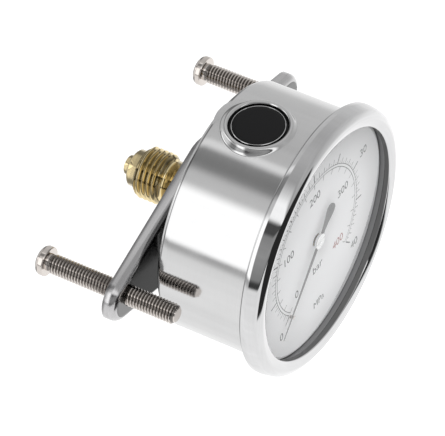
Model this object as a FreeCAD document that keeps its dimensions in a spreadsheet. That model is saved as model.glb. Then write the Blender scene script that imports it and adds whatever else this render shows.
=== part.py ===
# Glycerine-filled pressure gauge, nominal size 63, with a clamp for panel mounting.
# Frame: the dial faces -Y, +X is the dial's right, +Z is up, and the origin lies
# on the connection's axis, halfway along the pipe thread. Units are millimetres.
import math
import os
import re

import FreeCAD
import Part
import Sketcher

doc = FreeCAD.newDocument("gauge")

SIZES = {
    # Process connection, a parallel quarter inch pipe stub
    "thread_r": 6.5, "thread_len": 7.1, "thread_end": 0.3, "stub_chamfer": 0.9,
    "pilot_r": 4.65, "pilot_len": 2.55, "spigot_r": 2.5, "spigot_len": 1.95,
    "undercut_r": 5.0, "undercut_len": 0.8, "neck_r": 5.35, "neck_len": 4.7,
    "flats_across": 14.0, "flats_corner_r": 8.5, "flats_len": 3.0, "bore_r": 1.25,
    # Clamp plate and its screws
    "plate_th": 3.4, "plate_apex": 16.6, "plate_end_r": 5.8, "plate_end_out": 1.5, "plate_edge_r": 0.8,
    "clamp_out": 5.0, "clamp_screw_r": 2.5, "clamp_screw_len": 35.0, "clamp_tip_chamfer": 0.8,
    "clamp_head_r": 3.7, "clamp_head_h": 2.6, "clamp_head_edge": 1.3, "clamp_tip_lead": 12.75,
    "clamp_slot_w": 1.0, "clamp_slot_len": 3.8, "clamp_slot_depth": 1.4,
    "square_play": 0.05, "thread_play": 0.03,
    "plate_screw_x": 11.8, "plate_screw_r": 1.5, "plate_screw_head_r": 2.9, "plate_screw_head_h": 1.5,
    "plate_screw_len": 7.4, "screw_hole_play": 0.1,
    # Case
    "boss_h": 3.8, "boss_r": 18.0, "case_r": 31.0, "wall": 0.7, "case_depth": 24.6,
    "corner_r": 2.0, "flange_out": 2.2, "flange_th": 0.6, "case_hole_play": 0.1,
    # Window, its gasket and the crimped bezel
    "gasket_th": 0.5, "gasket_w": 2.4, "window_th": 1.7, "window_play": 0.1,
    "bezel_wall": 0.8, "bezel_crown": 1.8, "bezel_lip": 0.7, "bezel_open_in": 1.7,
    "hem_play": 0.5, "hem_th": 0.5,
    # Fill plug on the case's top
    "seat_sink": 0.6, "plug_y": 10.7, "seat_rim": 2.2, "seat_play": 0.85, "seat_rise": 1.1, "seat_skirt": 0.4,
    "plug_hole_r": 4.8, "plug_r": 6.2, "plug_h": 0.85, "plug_edge_r": 0.35, "plug_ring_in": 1.6,
    "plug_ring_depth": 0.2, "plug_neck_len": 3.4, "plug_play": 0.05, "plug_neck_tip_r": 4.2,
    # Dial and pointer
    "dial_gap": 4.9, "dial_th": 0.5, "dial_play": 0.5, "dial_hole_r": 1.6,
    "pointer_len": 25.0, "pointer_tail": 9.5, "pointer_th": 0.3, "pointer_gap": 2.1,
    "pointer_tip_w": 0.35, "pointer_hub_w": 1.9, "pointer_tail_w": 2.7,
    "hub_r": 2.2, "hub_front": 0.8, "hub_back": 1.1, "stop_r": 0.45, "stop_at": 19.0, "stop_offset": 0.87,
    # Movement
    "movement_gap": 1.9, "plate_gauge": 1.0, "plate_space": 4.5, "movement_w": 13.0,
    "movement_top": 8.0, "movement_under": 3.6, "pillar_x": 4.6, "pillar_top": 5.4, "pillar_under": 1.0,
    "pillar_r": 1.25, "tenon_r": 0.7, "shaft_r": 0.8, "pivot_r": 0.5, "pivot_play": 0.03,
    "gear_module": 0.35, "pinion_teeth": 12, "sector_teeth": 72, "pinion_w": 2.2, "sector_th": 1.0,
    "sector_in": 1.6, "sector_arbor_r": 0.9, "sector_hub_r": 2.0, "tail_reach": 3.4, "tail_end_r": 5.4,
    "swing": 45.0, "scale_sweep": 270.0, "link_angle": 25.4, "link_short": 0.4, "link_th": 0.7,
    "link_w": 2.4, "link_gap": 0.2, "pin_r": 0.5, "pin_head_r": 0.9, "slot_play": 0.05,
    "spring_h": 0.5, "spring_th": 0.14, "spring_in_r": 1.3, "spring_turns": 4.0, "spring_pitch": 0.8,
    "mount_screw_r": 1.0, "mount_screw_head_r": 1.7, "mount_screw_head_h": 0.6,
    "mount_screw_len": 4.5, "dial_post_r": 1.5, "dial_post_x": 4.6, "dial_post_z": 1.2,
    # Socket inside the case and the bent tube
    "socket_flange_r": 14.5, "socket_flange_th": 4.0, "seal_th": 0.5, "seal_w": 1.4,
    "arm_w": 10.0, "arm_th": 4.0, "block_top": 14.5, "block_under": 5.0,
    "tube_r": 21.0, "tube_w": 7.6, "tube_t": 2.2, "tube_wall": 0.35, "tube_play": 0.1,
    "root_angle": 262.0, "tip_angle": -20.0, "end_piece_len": 5.0, "end_piece_lap": 1.5,
    "end_piece_w": 4.6, "end_piece_margin": 0.6, "channel_r": 1.0, "restrictor_len": 3.0,
    "restrictor_bore_r": 0.3,
}

sheet = doc.addObject("Spreadsheet::Sheet", "sizes")
for row, (alias, value) in enumerate(SIZES.items(), start=1):
    sheet.set("A%d" % row, alias)
    sheet.set("B%d" % row, str(value))
    sheet.setAlias("B%d" % row, alias)
doc.recompute()


# Sizes that follow from others, as formulas in the names above
FOLLOWS = {
    "flange_r": "(case_r + flange_out)", "window_r": "(case_r + flange_out - window_play)",
    "bezel_r": "(case_r + flange_out + bezel_wall)", "bezel_open_r": "(case_r - bezel_open_in)",
    "hem_r": "(case_r + hem_play)", "dial_r": "(case_r - wall - dial_play)",
    "clamp_screw_x": "(case_r + clamp_out)", "plate_end_x": "(case_r + clamp_out + plate_end_out)",
     "block_low": "(tube_r + block_under)",
    "pillar_low": "(tube_r + pillar_under)", "movement_low": "(tube_r + movement_under)",
    "link_len": "(tube_r - link_short)",
    "seat_floor": "(plug_r + seat_play)", "seat_r": "(plug_r + seat_rim)",
    "case_hole_r": "(flats_corner_r + case_hole_play)", "seal_r": "(flats_corner_r + case_hole_play + seal_w)",
}


def ex(text):
    """A formula in size names, turned into one that reads the sheet."""
    text = re.sub(r"[a-z][a-z0-9_]*", lambda m: FOLLOWS.get(m.group(0), m.group(0)), text)
    return re.sub(r"[a-z][a-z0-9_]*", lambda m: "sizes." + m.group(0) if m.group(0) in SIZES else m.group(0), text)


holder = doc.addObject("App::FeaturePython", "number")
holder.addProperty("App::PropertyFloat", "value")


def val(text):
    """The number that a formula in size names stands for."""
    holder.setExpression("value", ex(text))
    holder.recompute()
    return float(holder.value)


# Stations along the axis, from the pipe thread towards the dial
Y_SHOULDER = "(0 - thread_len / 2)"
Y_NECK = Y_SHOULDER + " - neck_len"
Y_PLATE_BACK = Y_NECK + " - flats_len"
Y_PLATE_FRONT = Y_PLATE_BACK + " - plate_th"
Y_CASE_BACK = Y_PLATE_FRONT + " - boss_h"
Y_FLANGE_BACK = Y_CASE_BACK + " - case_depth"
Y_FLANGE_FRONT = Y_FLANGE_BACK + " - flange_th"
Y_WINDOW_IN = Y_FLANGE_FRONT + " - gasket_th"
Y_WINDOW_OUT = Y_WINDOW_IN + " - window_th"
Y_BEZEL_FRONT = Y_WINDOW_OUT + " - bezel_crown"
Y_DIAL = Y_WINDOW_IN + " + dial_gap"
Y_DIAL_BACK = Y_DIAL + " + dial_th"
Y_FRONT_PLATE = Y_DIAL_BACK + " + movement_gap"
Y_SPACE = Y_FRONT_PLATE + " + plate_gauge"
Y_BACK_PLATE = Y_SPACE + " + plate_space"
Y_BLOCK = Y_BACK_PLATE + " + plate_gauge"
Y_SEAL = Y_PLATE_FRONT + " - wall - seal_th"
Y_SOCKET_FLANGE = Y_SEAL + " - socket_flange_th"
Y_TUBE = Y_BLOCK + " + tube_play + tube_w / 2"
Y_POINTER = Y_WINDOW_IN + " + pointer_gap"
Y_SECTOR = Y_SPACE + " + sector_in"
Y_LINK = Y_SECTOR + " + sector_th + link_gap"

ALONG_Y = FreeCAD.Rotation(FreeCAD.Vector(1, 0, 0), -90)
ALONG_Z = FreeCAD.Rotation(FreeCAD.Vector(1, 0, 0), 90)
NONE = FreeCAD.Rotation()
parts = []


def place(obj, x="0", y="0", z="0", turn=NONE):
    """Set an object's turn and bind its position to formulas."""
    obj.Placement = FreeCAD.Placement(FreeCAD.Vector(0, 0, 0), turn)
    for axis, formula in (("x", x), ("y", y), ("z", z)):
        obj.setExpression("Placement.Base." + axis, ex(formula))
    return obj


def rod(r, y0, length, x="0", z="0", turn=ALONG_Y):
    """A cylinder along +Y that starts at y0."""
    obj = doc.addObject("Part::Cylinder", "rod")
    obj.setExpression("Radius", ex(r))
    obj.setExpression("Height", ex(length))
    return place(obj, x, y0, z, turn)


def block(x0, y0, z0, dx, dy, dz):
    """A box from its lowest corner and its three lengths."""
    obj = doc.addObject("Part::Box", "block")
    for name, formula in (("Length", dx), ("Width", dy), ("Height", dz)):
        obj.setExpression(name, ex(formula))
    return place(obj, x0, y0, z0)


def outline(points, name="outline"):
    """A closed sketch of straight lines through points whose two coordinates are formulas."""
    sk = doc.addObject("Sketcher::SketchObject", name)
    values = [(val(a), val(b)) for a, b in points]
    count = len(values)
    for i in range(count):
        a = values[i]
        b = values[(i + 1) % count]
        sk.addGeometry(Part.LineSegment(FreeCAD.Vector(a[0], a[1], 0), FreeCAD.Vector(b[0], b[1], 0)), False)
    for i in range(count):
        sk.addConstraint(Sketcher.Constraint("Coincident", i, 2, (i + 1) % count, 1))
    for i in range(count):
        for kind, formula, number, axis in (("DistanceX", points[i][0], values[i][0], -2),
                                            ("DistanceY", points[i][1], values[i][1], -1)):
            if formula == "0":
                sk.addConstraint(Sketcher.Constraint("PointOnObject", i, 1, axis))
            else:
                row = sk.addConstraint(Sketcher.Constraint(kind, -1, 1, i, 1, number))
                sk.setExpression("Constraints[%d]" % row, ex(formula))
    return sk


def turned(points, x="0", y="0", z="0", turn=NONE):
    """A profile of (radius, height) points turned about its own axis, which is Y before its turn."""
    obj = doc.addObject("Part::Revolution", "turned")
    obj.Source = outline(points, "profile")
    obj.Axis = FreeCAD.Vector(0, 1, 0)
    obj.Base = FreeCAD.Vector(0, 0, 0)
    obj.Angle = 360
    obj.Solid = True
    return place(obj, x, y, z, turn)


def pressed(points, y, depth, x="0", z="0"):
    """A flat outline of (x, z) points, made into a sheet that starts at y and is depth thick."""
    obj = doc.addObject("Part::Extrusion", "pressed")
    obj.Base = outline(points, "blank")
    obj.DirMode = "Custom"
    obj.Dir = FreeCAD.Vector(0, 0, 1)
    obj.Solid = True
    obj.Reversed = True
    obj.setExpression("LengthFwd", ex(depth))
    return place(obj, x, y, z, ALONG_Z)


def cut(base, *tools):
    """The base without the tools."""
    obj = doc.addObject("Part::Cut", "cut")
    obj.Base = base
    obj.Tool = tools[0] if len(tools) == 1 else joined(*tools)
    return obj


def joined(*shapes):
    """Several solids as one piece."""
    obj = doc.addObject("Part::MultiFuse", "joined")
    obj.Shapes = list(shapes)
    obj.Refine = True
    return obj


def shared(a, b):
    """What two solids have in common."""
    obj = doc.addObject("Part::MultiCommon", "shared")
    obj.Shapes = [a, b]
    return obj


def fixed(shape, name):
    """A computed shape that no parametric object describes."""
    obj = doc.addObject("Part::Feature", name)
    obj.Shape = shape
    return obj


def part(label, obj):
    """Name a finished piece for export."""
    obj.Label = label
    parts.append((label, obj))
    return obj


def wire_solid(points, y0, depth):
    """A sheet between flat (x, z) points given as numbers."""
    ring = [FreeCAD.Vector(px, y0, pz) for px, pz in points]
    face = Part.Face(Part.makePolygon(ring + [ring[0]]))
    return face.extrude(FreeCAD.Vector(0, depth, 0))


# The case: a deep-drawn cup with a rolled-out flange and a raised middle in its back
case_cup = turned([
    ("case_hole_r", "0"), ("boss_r", "0"), ("boss_r", "0 - boss_h"), ("case_r - corner_r", "0 - boss_h"),
    ("case_r - 0.3 * corner_r", "0 - boss_h - 0.3 * corner_r"), ("case_r", "0 - boss_h - corner_r"),
    ("case_r", "0 - boss_h - case_depth"), ("flange_r", "0 - boss_h - case_depth"),
    ("flange_r", "0 - boss_h - case_depth - flange_th"), ("case_r - wall", "0 - boss_h - case_depth - flange_th"),
    ("case_r - wall", "0 - boss_h - corner_r"),
    ("case_r - wall - 0.3 * corner_r", "0 - boss_h - wall - 0.3 * (corner_r - wall)"),
    ("case_r - corner_r", "0 - boss_h - wall"), ("boss_r - wall", "0 - boss_h - wall"),
    ("boss_r - wall", "0 - wall"), ("case_hole_r", "0 - wall"),
], y=Y_PLATE_FRONT)
Y_PLUG = Y_CASE_BACK + " - plug_y"
seat = turned([
    ("0", "0 - wall"), ("seat_r + seat_skirt", "0 - wall"), ("seat_r", "seat_rise - 0.4"),
    ("seat_r - 0.3", "seat_rise"), ("seat_floor + 0.3", "seat_rise"), ("seat_floor", "seat_rise - 0.3"),
    ("seat_floor", "0"), ("0", "0"),
], y=Y_PLUG, z="case_r - seat_sink", turn=ALONG_Z)
recess = rod("seat_floor", Y_PLUG, "2 * seat_rise + seat_sink", z="case_r - seat_sink", turn=NONE)
plug_bore = rod("plug_hole_r", Y_PLUG, "4 * wall", z="case_r - seat_sink - 2 * wall", turn=NONE)
plate_screw_holes = [rod("plate_screw_r + screw_hole_play", Y_PLATE_FRONT + " - wall", "wall", x=side + "plate_screw_x")
                     for side in ("", "0 - ")]
part("case_shell", cut(joined(case_cup, seat), recess, plug_bore, *plate_screw_holes))

# The fill plug: rubber, with a domed head and a tapered neck that pulls out upwards
part("fill_plug", turned([
    ("0", "0 - plug_neck_len"), ("plug_neck_tip_r", "0 - plug_neck_len"), ("plug_hole_r - plug_play", "0 - 1.6"),
    ("plug_hole_r - plug_play", "0"), ("plug_r", "0"), ("plug_r", "plug_h - plug_edge_r"),
    ("plug_r - 0.3 * plug_edge_r", "plug_h - 0.3 * plug_edge_r"), ("plug_r - plug_edge_r", "plug_h"),
    ("plug_r - plug_ring_in + 0.5", "plug_h"), ("plug_r - plug_ring_in + 0.3", "plug_h - plug_ring_depth"),
    ("plug_r - plug_ring_in", "plug_h - plug_ring_depth"), ("plug_r - plug_ring_in - 0.2", "plug_h"), ("0", "plug_h"),
], y=Y_PLUG, z="case_r - seat_sink", turn=ALONG_Z))

# Window, gasket and the bezel that is crimped round the flange
part("window", rod("window_r", Y_WINDOW_OUT, "window_th"))
part("window_gasket", cut(rod("window_r", Y_WINDOW_IN, "gasket_th"),
                          rod("window_r - gasket_w", Y_WINDOW_IN, "gasket_th")))
part("bezel_ring", turned([
    ("bezel_open_r", "bezel_crown"), ("bezel_open_r", "bezel_crown - bezel_lip"),
    ("bezel_open_r + 0.15", "bezel_crown - bezel_lip - 0.2"), ("bezel_r - 3.4", "0.25"), ("bezel_r - 2.4", "0"),
    ("bezel_r - 1.5", "0.05"), ("bezel_r - 0.7", "0.45"), ("bezel_r - 0.2", "1.0"), ("bezel_r", "1.7"),
    ("bezel_r", "bezel_crown + window_th + gasket_th + flange_th + hem_th - 0.6"),
    ("bezel_r - 0.2", "bezel_crown + window_th + gasket_th + flange_th + hem_th - 0.2"),
    ("bezel_r - 0.6", "bezel_crown + window_th + gasket_th + flange_th + hem_th"),
    ("hem_r + 0.2", "bezel_crown + window_th + gasket_th + flange_th + hem_th"),
    ("hem_r", "bezel_crown + window_th + gasket_th + flange_th + hem_th - 0.15"),
    ("hem_r", "bezel_crown + window_th + gasket_th + flange_th"),
    ("flange_r", "bezel_crown + window_th + gasket_th + flange_th"),
    ("flange_r", "bezel_crown + window_th + gasket_th"), ("window_r", "bezel_crown + window_th + gasket_th"),
    ("window_r", "bezel_crown"),
], y=Y_BEZEL_FRONT))

# Dial plate, its two posts, the zero stop and the pointer
part("dial_plate", cut(rod("dial_r", Y_DIAL, "dial_th"), rod("dial_hole_r", Y_DIAL, "dial_th")))
for side, sign in (("left", "0 - "), ("right", "")):
    part("dial_post_" + side, joined(
        rod("dial_post_r", Y_DIAL_BACK, "movement_gap", x=sign + "dial_post_x", z="dial_post_z"),
        rod("tenon_r", Y_FRONT_PLATE, "plate_gauge", x=sign + "dial_post_x", z="dial_post_z")))
part("zero_stop_pin", rod("stop_r", Y_POINTER + " - 0.2", "dial_gap - pointer_gap + 0.2",
                          x="0 - stop_at * sin(scale_sweep / 2) - stop_offset * cos(scale_sweep / 2)",
                          z="stop_at * cos(scale_sweep / 2) - stop_offset * sin(scale_sweep / 2)"))
blade = pressed([
    ("0 - pointer_tip_w / 2", "pointer_len - 0.5"), ("0", "pointer_len"), ("pointer_tip_w / 2", "pointer_len - 0.5"),
    ("pointer_hub_w / 2", "0"), ("pointer_tail_w / 2", "0 - pointer_tail + 1.6"),
    ("pointer_tail_w / 2 - 0.3", "0 - pointer_tail + 0.5"), ("pointer_tail_w / 2 - 0.9", "0 - pointer_tail"),
    ("0.9 - pointer_tail_w / 2", "0 - pointer_tail"), ("0.3 - pointer_tail_w / 2", "0 - pointer_tail + 0.5"),
    ("0 - pointer_tail_w / 2", "0 - pointer_tail + 1.6"), ("0 - pointer_hub_w / 2", "0"),
], "0", "pointer_th")
hub_hole = rod("1.2", "0", "pointer_th")
arrow = cut(joined(blade, rod("hub_r - 0.3", "0", "pointer_th")), hub_hole)
arrow_turn = FreeCAD.Rotation(FreeCAD.Vector(0, 1, 0), val("0 - scale_sweep / 2"))
part("pointer", place(arrow, y=Y_POINTER, turn=arrow_turn))
hub_body = turned([
    ("0", "0 - hub_front"), ("hub_r - 0.2", "0 - hub_front"), ("hub_r", "0.2 - hub_front"), ("hub_r", "0"),
    ("1.2", "0"), ("1.2", "pointer_th"), ("hub_r - 0.5", "pointer_th"), ("hub_r - 0.5", "pointer_th + hub_back"),
    ("shaft_r", "pointer_th + hub_back"), ("shaft_r", "0 - 0.3"), ("0", "0 - 0.3"),
], y=Y_POINTER)
part("pointer_hub", cut(hub_body, block("0 - hub_r", Y_POINTER + " - hub_front", "0 - 0.2", "2 * hub_r", "0.25", "0.4")))


def span(start, end):
    """The formula of the distance between two stations."""
    return "(" + end + ") - (" + start + ")"


# Teeth: involute flanks on a base circle, thinned a little so that the pair runs free
def tooth_points(teeth, module, centre_angle, add, ded):
    """One tooth's outline about the origin, from its right root to its left root."""
    pitch = module * teeth / 2
    base = pitch * math.cos(math.radians(20))
    tip = pitch + add * module
    root = pitch - ded * module
    half = 0.225 * math.pi * module / pitch + math.tan(math.radians(20)) - math.radians(20)
    flank = []
    for step in range(5):
        r = max(root, base) + (tip - max(root, base)) * step / 4
        press = math.acos(min(1.0, base / r))
        flank.append((r, half - (math.tan(press) - press)))
    if root < base:
        flank.insert(0, (root, flank[0][1]))
    right = [(r, centre_angle - a) for r, a in flank]
    left = [(r, centre_angle + a) for r, a in reversed(flank)]
    return [(r * math.cos(a), r * math.sin(a)) for r, a in right + left]


module = val("gear_module")
pinion_count = int(val("pinion_teeth"))
sector_count = int(val("sector_teeth"))
CENTRES = "gear_module * (pinion_teeth + sector_teeth) / 2"
centres = val(CENTRES)
pinion_outline = []
for k in range(pinion_count):
    pinion_outline += tooth_points(pinion_count, module, math.radians(-90) + math.pi / pinion_count
                                   + 2 * math.pi * k / pinion_count, 0.8, 1.15)
pinion_teeth = fixed(wire_solid(pinion_outline, val(Y_SECTOR + " + sector_th / 2 - pinion_w / 2"), val("pinion_w")), "teeth")
part("pinion_arbor", joined(
    pinion_teeth, rod("shaft_r", Y_POINTER + " - 0.3", span(Y_POINTER, Y_BACK_PLATE) + " + 0.2"),
    rod("pivot_r", Y_BACK_PLATE + " - 0.1", "plate_gauge")))

# The sector: a toothed fan, a hub and a tail with an adjusting slot, about an axis below the pointer's
swing = math.radians(val("swing"))
overrun = math.radians(8)
first = round((math.pi / 2 - swing - overrun) * sector_count / (2 * math.pi))
last = round((math.pi / 2 + overrun) * sector_count / (2 * math.pi))
fan = [(0.0, 0.0)]
for k in range(first, last + 1):
    fan += tooth_points(sector_count, module, 2 * math.pi * k / sector_count, 0.8, 1.15)
fan = [(px, pz - centres) for px, pz in fan]
sector_fan = fixed(wire_solid(fan, val(Y_SECTOR), val("sector_th")), "fan")
link_way = math.radians(val("link_angle"))
along = (math.cos(link_way), math.sin(link_way))
across = (along[1], -along[0])
reach = val("tail_reach")
half_travel = reach * math.tan(swing / 2)
pin_at = (reach * across[0] - half_travel * along[0], reach * across[1] - half_travel * along[1] - centres)
tip_at = (pin_at[0] + val("link_len") * along[0], pin_at[1] + val("link_len") * along[1])
tail_angle = math.atan2(pin_at[1] + centres, pin_at[0])


def bar(start, end, y0, depth, half_width):
    """A flat bar with round ends between two (x, z) points."""
    length = math.hypot(end[0] - start[0], end[1] - start[1])
    angle = math.atan2(end[1] - start[1], end[0] - start[0])
    points = []
    for centre, base_angle in ((end, -90), (start, 90)):
        for step in range(9):
            a = angle + math.radians(base_angle + 22.5 * step)
            points.append((centre[0] + half_width * math.cos(a), centre[1] + half_width * math.sin(a)))
    return wire_solid(points, y0, depth) if length > 0 else None


def out(distance, angle, origin=(0.0, 0.0)):
    """The point at a distance and an angle from an origin."""
    return (origin[0] + distance * math.cos(angle), origin[1] + distance * math.sin(angle))


pivot_at = (0.0, -centres)
tail = fixed(bar(pivot_at, out(val("tail_end_r - 1.25"), tail_angle, pivot_at), val(Y_SECTOR), val("sector_th"), 1.25), "tail")
slot_in = reach - 0.02
slot_out = reach / math.cos(swing / 2) + 0.02
slot = fixed(bar(out(slot_in, tail_angle, pivot_at), out(slot_out, tail_angle, pivot_at), val(Y_SECTOR), val("sector_th"),
                 val("pin_r + slot_play")), "slot")
sector_hub = rod("sector_hub_r", Y_SECTOR, "sector_th + 0.8", z="0 - " + CENTRES)
fan_window = rod("2.2", Y_SECTOR, "sector_th", x="4.6", z="0 - " + CENTRES + " + 6.4")
part("sector_gear", cut(joined(sector_fan, tail, sector_hub), slot, fan_window,
                        rod("sector_arbor_r", Y_SPACE, "plate_space", z="0 - " + CENTRES)))
part("sector_arbor", joined(
    rod("sector_arbor_r", Y_SPACE + " + 0.1", "plate_space - 0.2", z="0 - " + CENTRES),
    rod("pivot_r", Y_FRONT_PLATE + " + 0.1", "2 * plate_gauge + plate_space - 0.3", z="0 - " + CENTRES)))

# The link from the sector's tail to the tube's tip, and its two pins
link_blank = fixed(bar(pin_at, tip_at, val(Y_LINK), val("link_th"), val("link_w / 2")), "link_blank")
pin_x, pin_z = ("%.4f" % pin_at[0], "%.4f" % pin_at[1])
tip_x, tip_z = ("%.4f" % tip_at[0], "%.4f" % tip_at[1])
part("link", cut(link_blank, rod("pin_r", Y_LINK, "link_th", x=pin_x, z=pin_z), rod("pin_r", Y_LINK, "link_th", x=tip_x, z=tip_z)))
part("tail_pin", joined(
    rod("pin_head_r", Y_SECTOR + " - 0.65", "0.6", x=pin_x, z=pin_z),
    rod("pin_r", Y_SECTOR + " - 0.3", "0.3 + sector_th + link_gap + link_th + 0.1", x=pin_x, z=pin_z),
    rod("pin_head_r", Y_LINK + " + link_th", "0.3", x=pin_x, z=pin_z)))
Y_END_PIECE = Y_TUBE + " - tube_w / 2 - end_piece_margin"
part("tip_pin", joined(
    rod("pin_head_r", Y_LINK + " - 0.5", "0.5", x=tip_x, z=tip_z),
    rod("pin_r", Y_LINK + " - 0.3", span(Y_LINK, Y_END_PIECE) + " + 2.3", x=tip_x, z=tip_z),
    rod("pin_head_r", Y_LINK + " + link_th", span(Y_LINK, Y_END_PIECE) + " - link_th", x=tip_x, z=tip_z)))


# The bent tube: a flattened tube that curls round the axis from the socket's block to its free tip
def ring_piece(radial, wide, start_deg, end_deg):
    """A round-sided band about the axis, turned from one angle to another."""
    y = val(Y_TUBE)
    r = val("tube_r")
    half_t = radial / 2
    half_w = wide / 2
    inner, outer, low, high = (r - half_t, r + half_t, y - half_w + half_t, y + half_w - half_t)
    vec = FreeCAD.Vector
    edges = [Part.LineSegment(vec(outer, low, 0), vec(outer, high, 0)).toShape(),
             Part.Arc(vec(outer, high, 0), vec(r, y + half_w, 0), vec(inner, high, 0)).toShape(),
             Part.LineSegment(vec(inner, high, 0), vec(inner, low, 0)).toShape(),
             Part.Arc(vec(inner, low, 0), vec(r, y - half_w, 0), vec(outer, low, 0)).toShape()]
    face = Part.Face(Part.Wire(edges))
    face.rotate(vec(0, 0, 0), vec(0, 1, 0), -start_deg)
    return face.revolve(vec(0, 0, 0), vec(0, 1, 0), start_deg - end_deg)


root_deg = val("root_angle")
tip_deg = val("tip_angle")
tube_t = val("tube_t")
tube_w = val("tube_w")
thin = 2 * val("tube_wall")
tube_outer = fixed(ring_piece(tube_t, tube_w, root_deg, tip_deg), "tube_outer")
tube_inner = fixed(ring_piece(tube_t - thin, tube_w - thin, root_deg, tip_deg), "tube_inner")
part("bourdon_tube", cut(tube_outer, tube_inner))

tip_angle = math.radians(tip_deg)
tangent = (math.sin(tip_angle), -math.cos(tip_angle))
radial = (math.cos(tip_angle), math.sin(tip_angle))


def on_tip(a, b):
    """A point a out along the radius and b past the tube's end."""
    return (radial[0] * a + tangent[0] * b, radial[1] * a + tangent[1] * b)


half = val("end_piece_w / 2")
lap = val("end_piece_lap")
long_end = val("end_piece_len") - lap
mid = val("tube_r")
end_block = fixed(wire_solid([on_tip(mid - half, -lap), on_tip(mid + half, -lap), on_tip(mid + half, long_end),
                              on_tip(mid - half, long_end)], val(Y_END_PIECE), val("tube_w + 2 * end_piece_margin")), "end")
tip_pocket = fixed(ring_piece(tube_t, tube_w, tip_deg + 12, tip_deg), "pocket")
part("tube_end_piece", cut(end_block, tip_pocket, rod("pin_r", Y_END_PIECE, "2.0", x=tip_x, z=tip_z)))

# The socket: pipe stub, flats, flange inside the case, arm and block that hold the tube's root
stub = turned([
    ("0", "0 - neck_len"), ("neck_r", "0 - neck_len"), ("neck_r", "0 - undercut_len - 0.3"),
    ("undercut_r", "0 - undercut_len"), ("undercut_r", "0"), ("thread_r - thread_end", "0"),
    ("thread_r", "thread_end"), ("thread_r", "thread_len - stub_chamfer"), ("thread_r - stub_chamfer", "thread_len"),
    ("pilot_r", "thread_len"), ("pilot_r", "thread_len + pilot_len - 0.4"), ("pilot_r - 0.4", "thread_len + pilot_len"),
    ("spigot_r", "thread_len + pilot_len"), ("spigot_r", "thread_len + pilot_len + spigot_len - 0.3"),
    ("spigot_r - 0.3", "thread_len + pilot_len + spigot_len"), ("0", "thread_len + pilot_len + spigot_len"),
], y=Y_SHOULDER)
FLATS = span(Y_SEAL, Y_NECK)
flats = shared(block("0 - flats_across / 2", Y_SEAL, "0 - flats_across / 2", "flats_across", FLATS, "flats_across"),
               rod("flats_corner_r", Y_SEAL, FLATS))
flange = rod("socket_flange_r", Y_SOCKET_FLANGE, "socket_flange_th")
arm = block("0 - arm_w / 2", Y_SOCKET_FLANGE + " - arm_th", "0 - block_low", "arm_w", "arm_th", "block_low + arm_w / 2")
root_block = block("0 - arm_w / 2", Y_BLOCK, "0 - block_low", "arm_w", span(Y_BLOCK, Y_SOCKET_FLANGE), "block_low - block_top")
Y_END = "thread_len / 2 + pilot_len + spigot_len"
Y_CROSS = Y_SOCKET_FLANGE + " - arm_th / 2"
bore = rod("bore_r", Y_CROSS, span(Y_CROSS, Y_END))
down = rod("channel_r", Y_CROSS, "tube_r", z="0 - tube_r", turn=NONE)
forward = rod("channel_r", Y_TUBE, span(Y_TUBE, Y_CROSS), z="0 - tube_r")
side_turn = FreeCAD.Rotation(FreeCAD.Vector(0, 1, 0), -90)
sideways = rod("channel_r - 0.3", Y_TUBE, "3.4", z="0 - tube_r + 0.1", turn=side_turn)
root_slot = fixed(ring_piece(tube_t, tube_w, root_deg, root_deg - 14), "root_slot")
taps = [rod("plate_screw_r", Y_PLATE_BACK + " - plate_screw_len", "plate_screw_len", x=side + "plate_screw_x")
        for side in ("", "0 - ")]
MOUNT_SCREWS = (("upper", "0 - 2.5", "0 - block_top - 2.0"), ("lower", "1.0", "4.2 - block_low"))
mount_taps = [rod("mount_screw_r", Y_BLOCK, "mount_screw_len - plate_gauge", x=sx, z=sz) for label, sx, sz in MOUNT_SCREWS]
part("connection_socket", cut(joined(stub, flats, flange, arm, root_block), bore, down, forward, sideways, root_slot,
                              *taps, *mount_taps))
part("socket_seal", cut(rod("seal_r", Y_SEAL, "seal_th"), rod("case_hole_r", Y_SEAL, "seal_th")))
part("restrictor_screw", cut(rod("bore_r", Y_END + " - restrictor_len - 0.6", "restrictor_len"),
                             rod("restrictor_bore_r", Y_END + " - restrictor_len - 0.6", "restrictor_len")))

# Movement plates, their pillars and the screws that hold them to the block
PILLARS = (("upper_left", "0 - pillar_x", "pillar_top"), ("upper_right", "pillar_x", "pillar_top"),
           ("lower_left", "0 - pillar_x", "0 - pillar_low"), ("lower_right", "pillar_x", "0 - pillar_low"))
PLATE_OUTLINE = [
    ("1.5 - movement_w / 2", "0 - movement_low"), ("movement_w / 2 - 1.5", "0 - movement_low"),
    ("movement_w / 2", "1.5 - movement_low"), ("movement_w / 2", "movement_top - 1.5"),
    ("movement_w / 2 - 1.5", "movement_top"), ("1.5 - movement_w / 2", "movement_top"),
    ("0 - movement_w / 2", "movement_top - 1.5"), ("0 - movement_w / 2", "1.5 - movement_low"),
]
for label, y0, axle in (("front", Y_FRONT_PLATE, "shaft_r"), ("back", Y_BACK_PLATE, "pivot_r")):
    holes = [rod("tenon_r", y0, "plate_gauge", x=px, z=pz) for name, px, pz in PILLARS]
    holes.append(rod(axle + " + pivot_play", y0, "plate_gauge"))
    holes.append(rod("pivot_r + pivot_play", y0, "plate_gauge", z="0 - " + CENTRES))
    if label == "front":
        holes += [rod("tenon_r", y0, "plate_gauge", x=sign + "dial_post_x", z="dial_post_z") for sign in ("", "0 - ")]
    else:
        holes += [rod("mount_screw_r", y0, "plate_gauge", x=sx, z=sz) for name, sx, sz in MOUNT_SCREWS]
    part("movement_" + label + "_plate", cut(pressed(PLATE_OUTLINE, y0, "plate_gauge"), *holes))
for label, px, pz in PILLARS:
    part("pillar_" + label, joined(rod("pillar_r", Y_SPACE, "plate_space", x=px, z=pz),
                                   rod("tenon_r", Y_FRONT_PLATE, "plate_space + 2 * plate_gauge", x=px, z=pz)))
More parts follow.
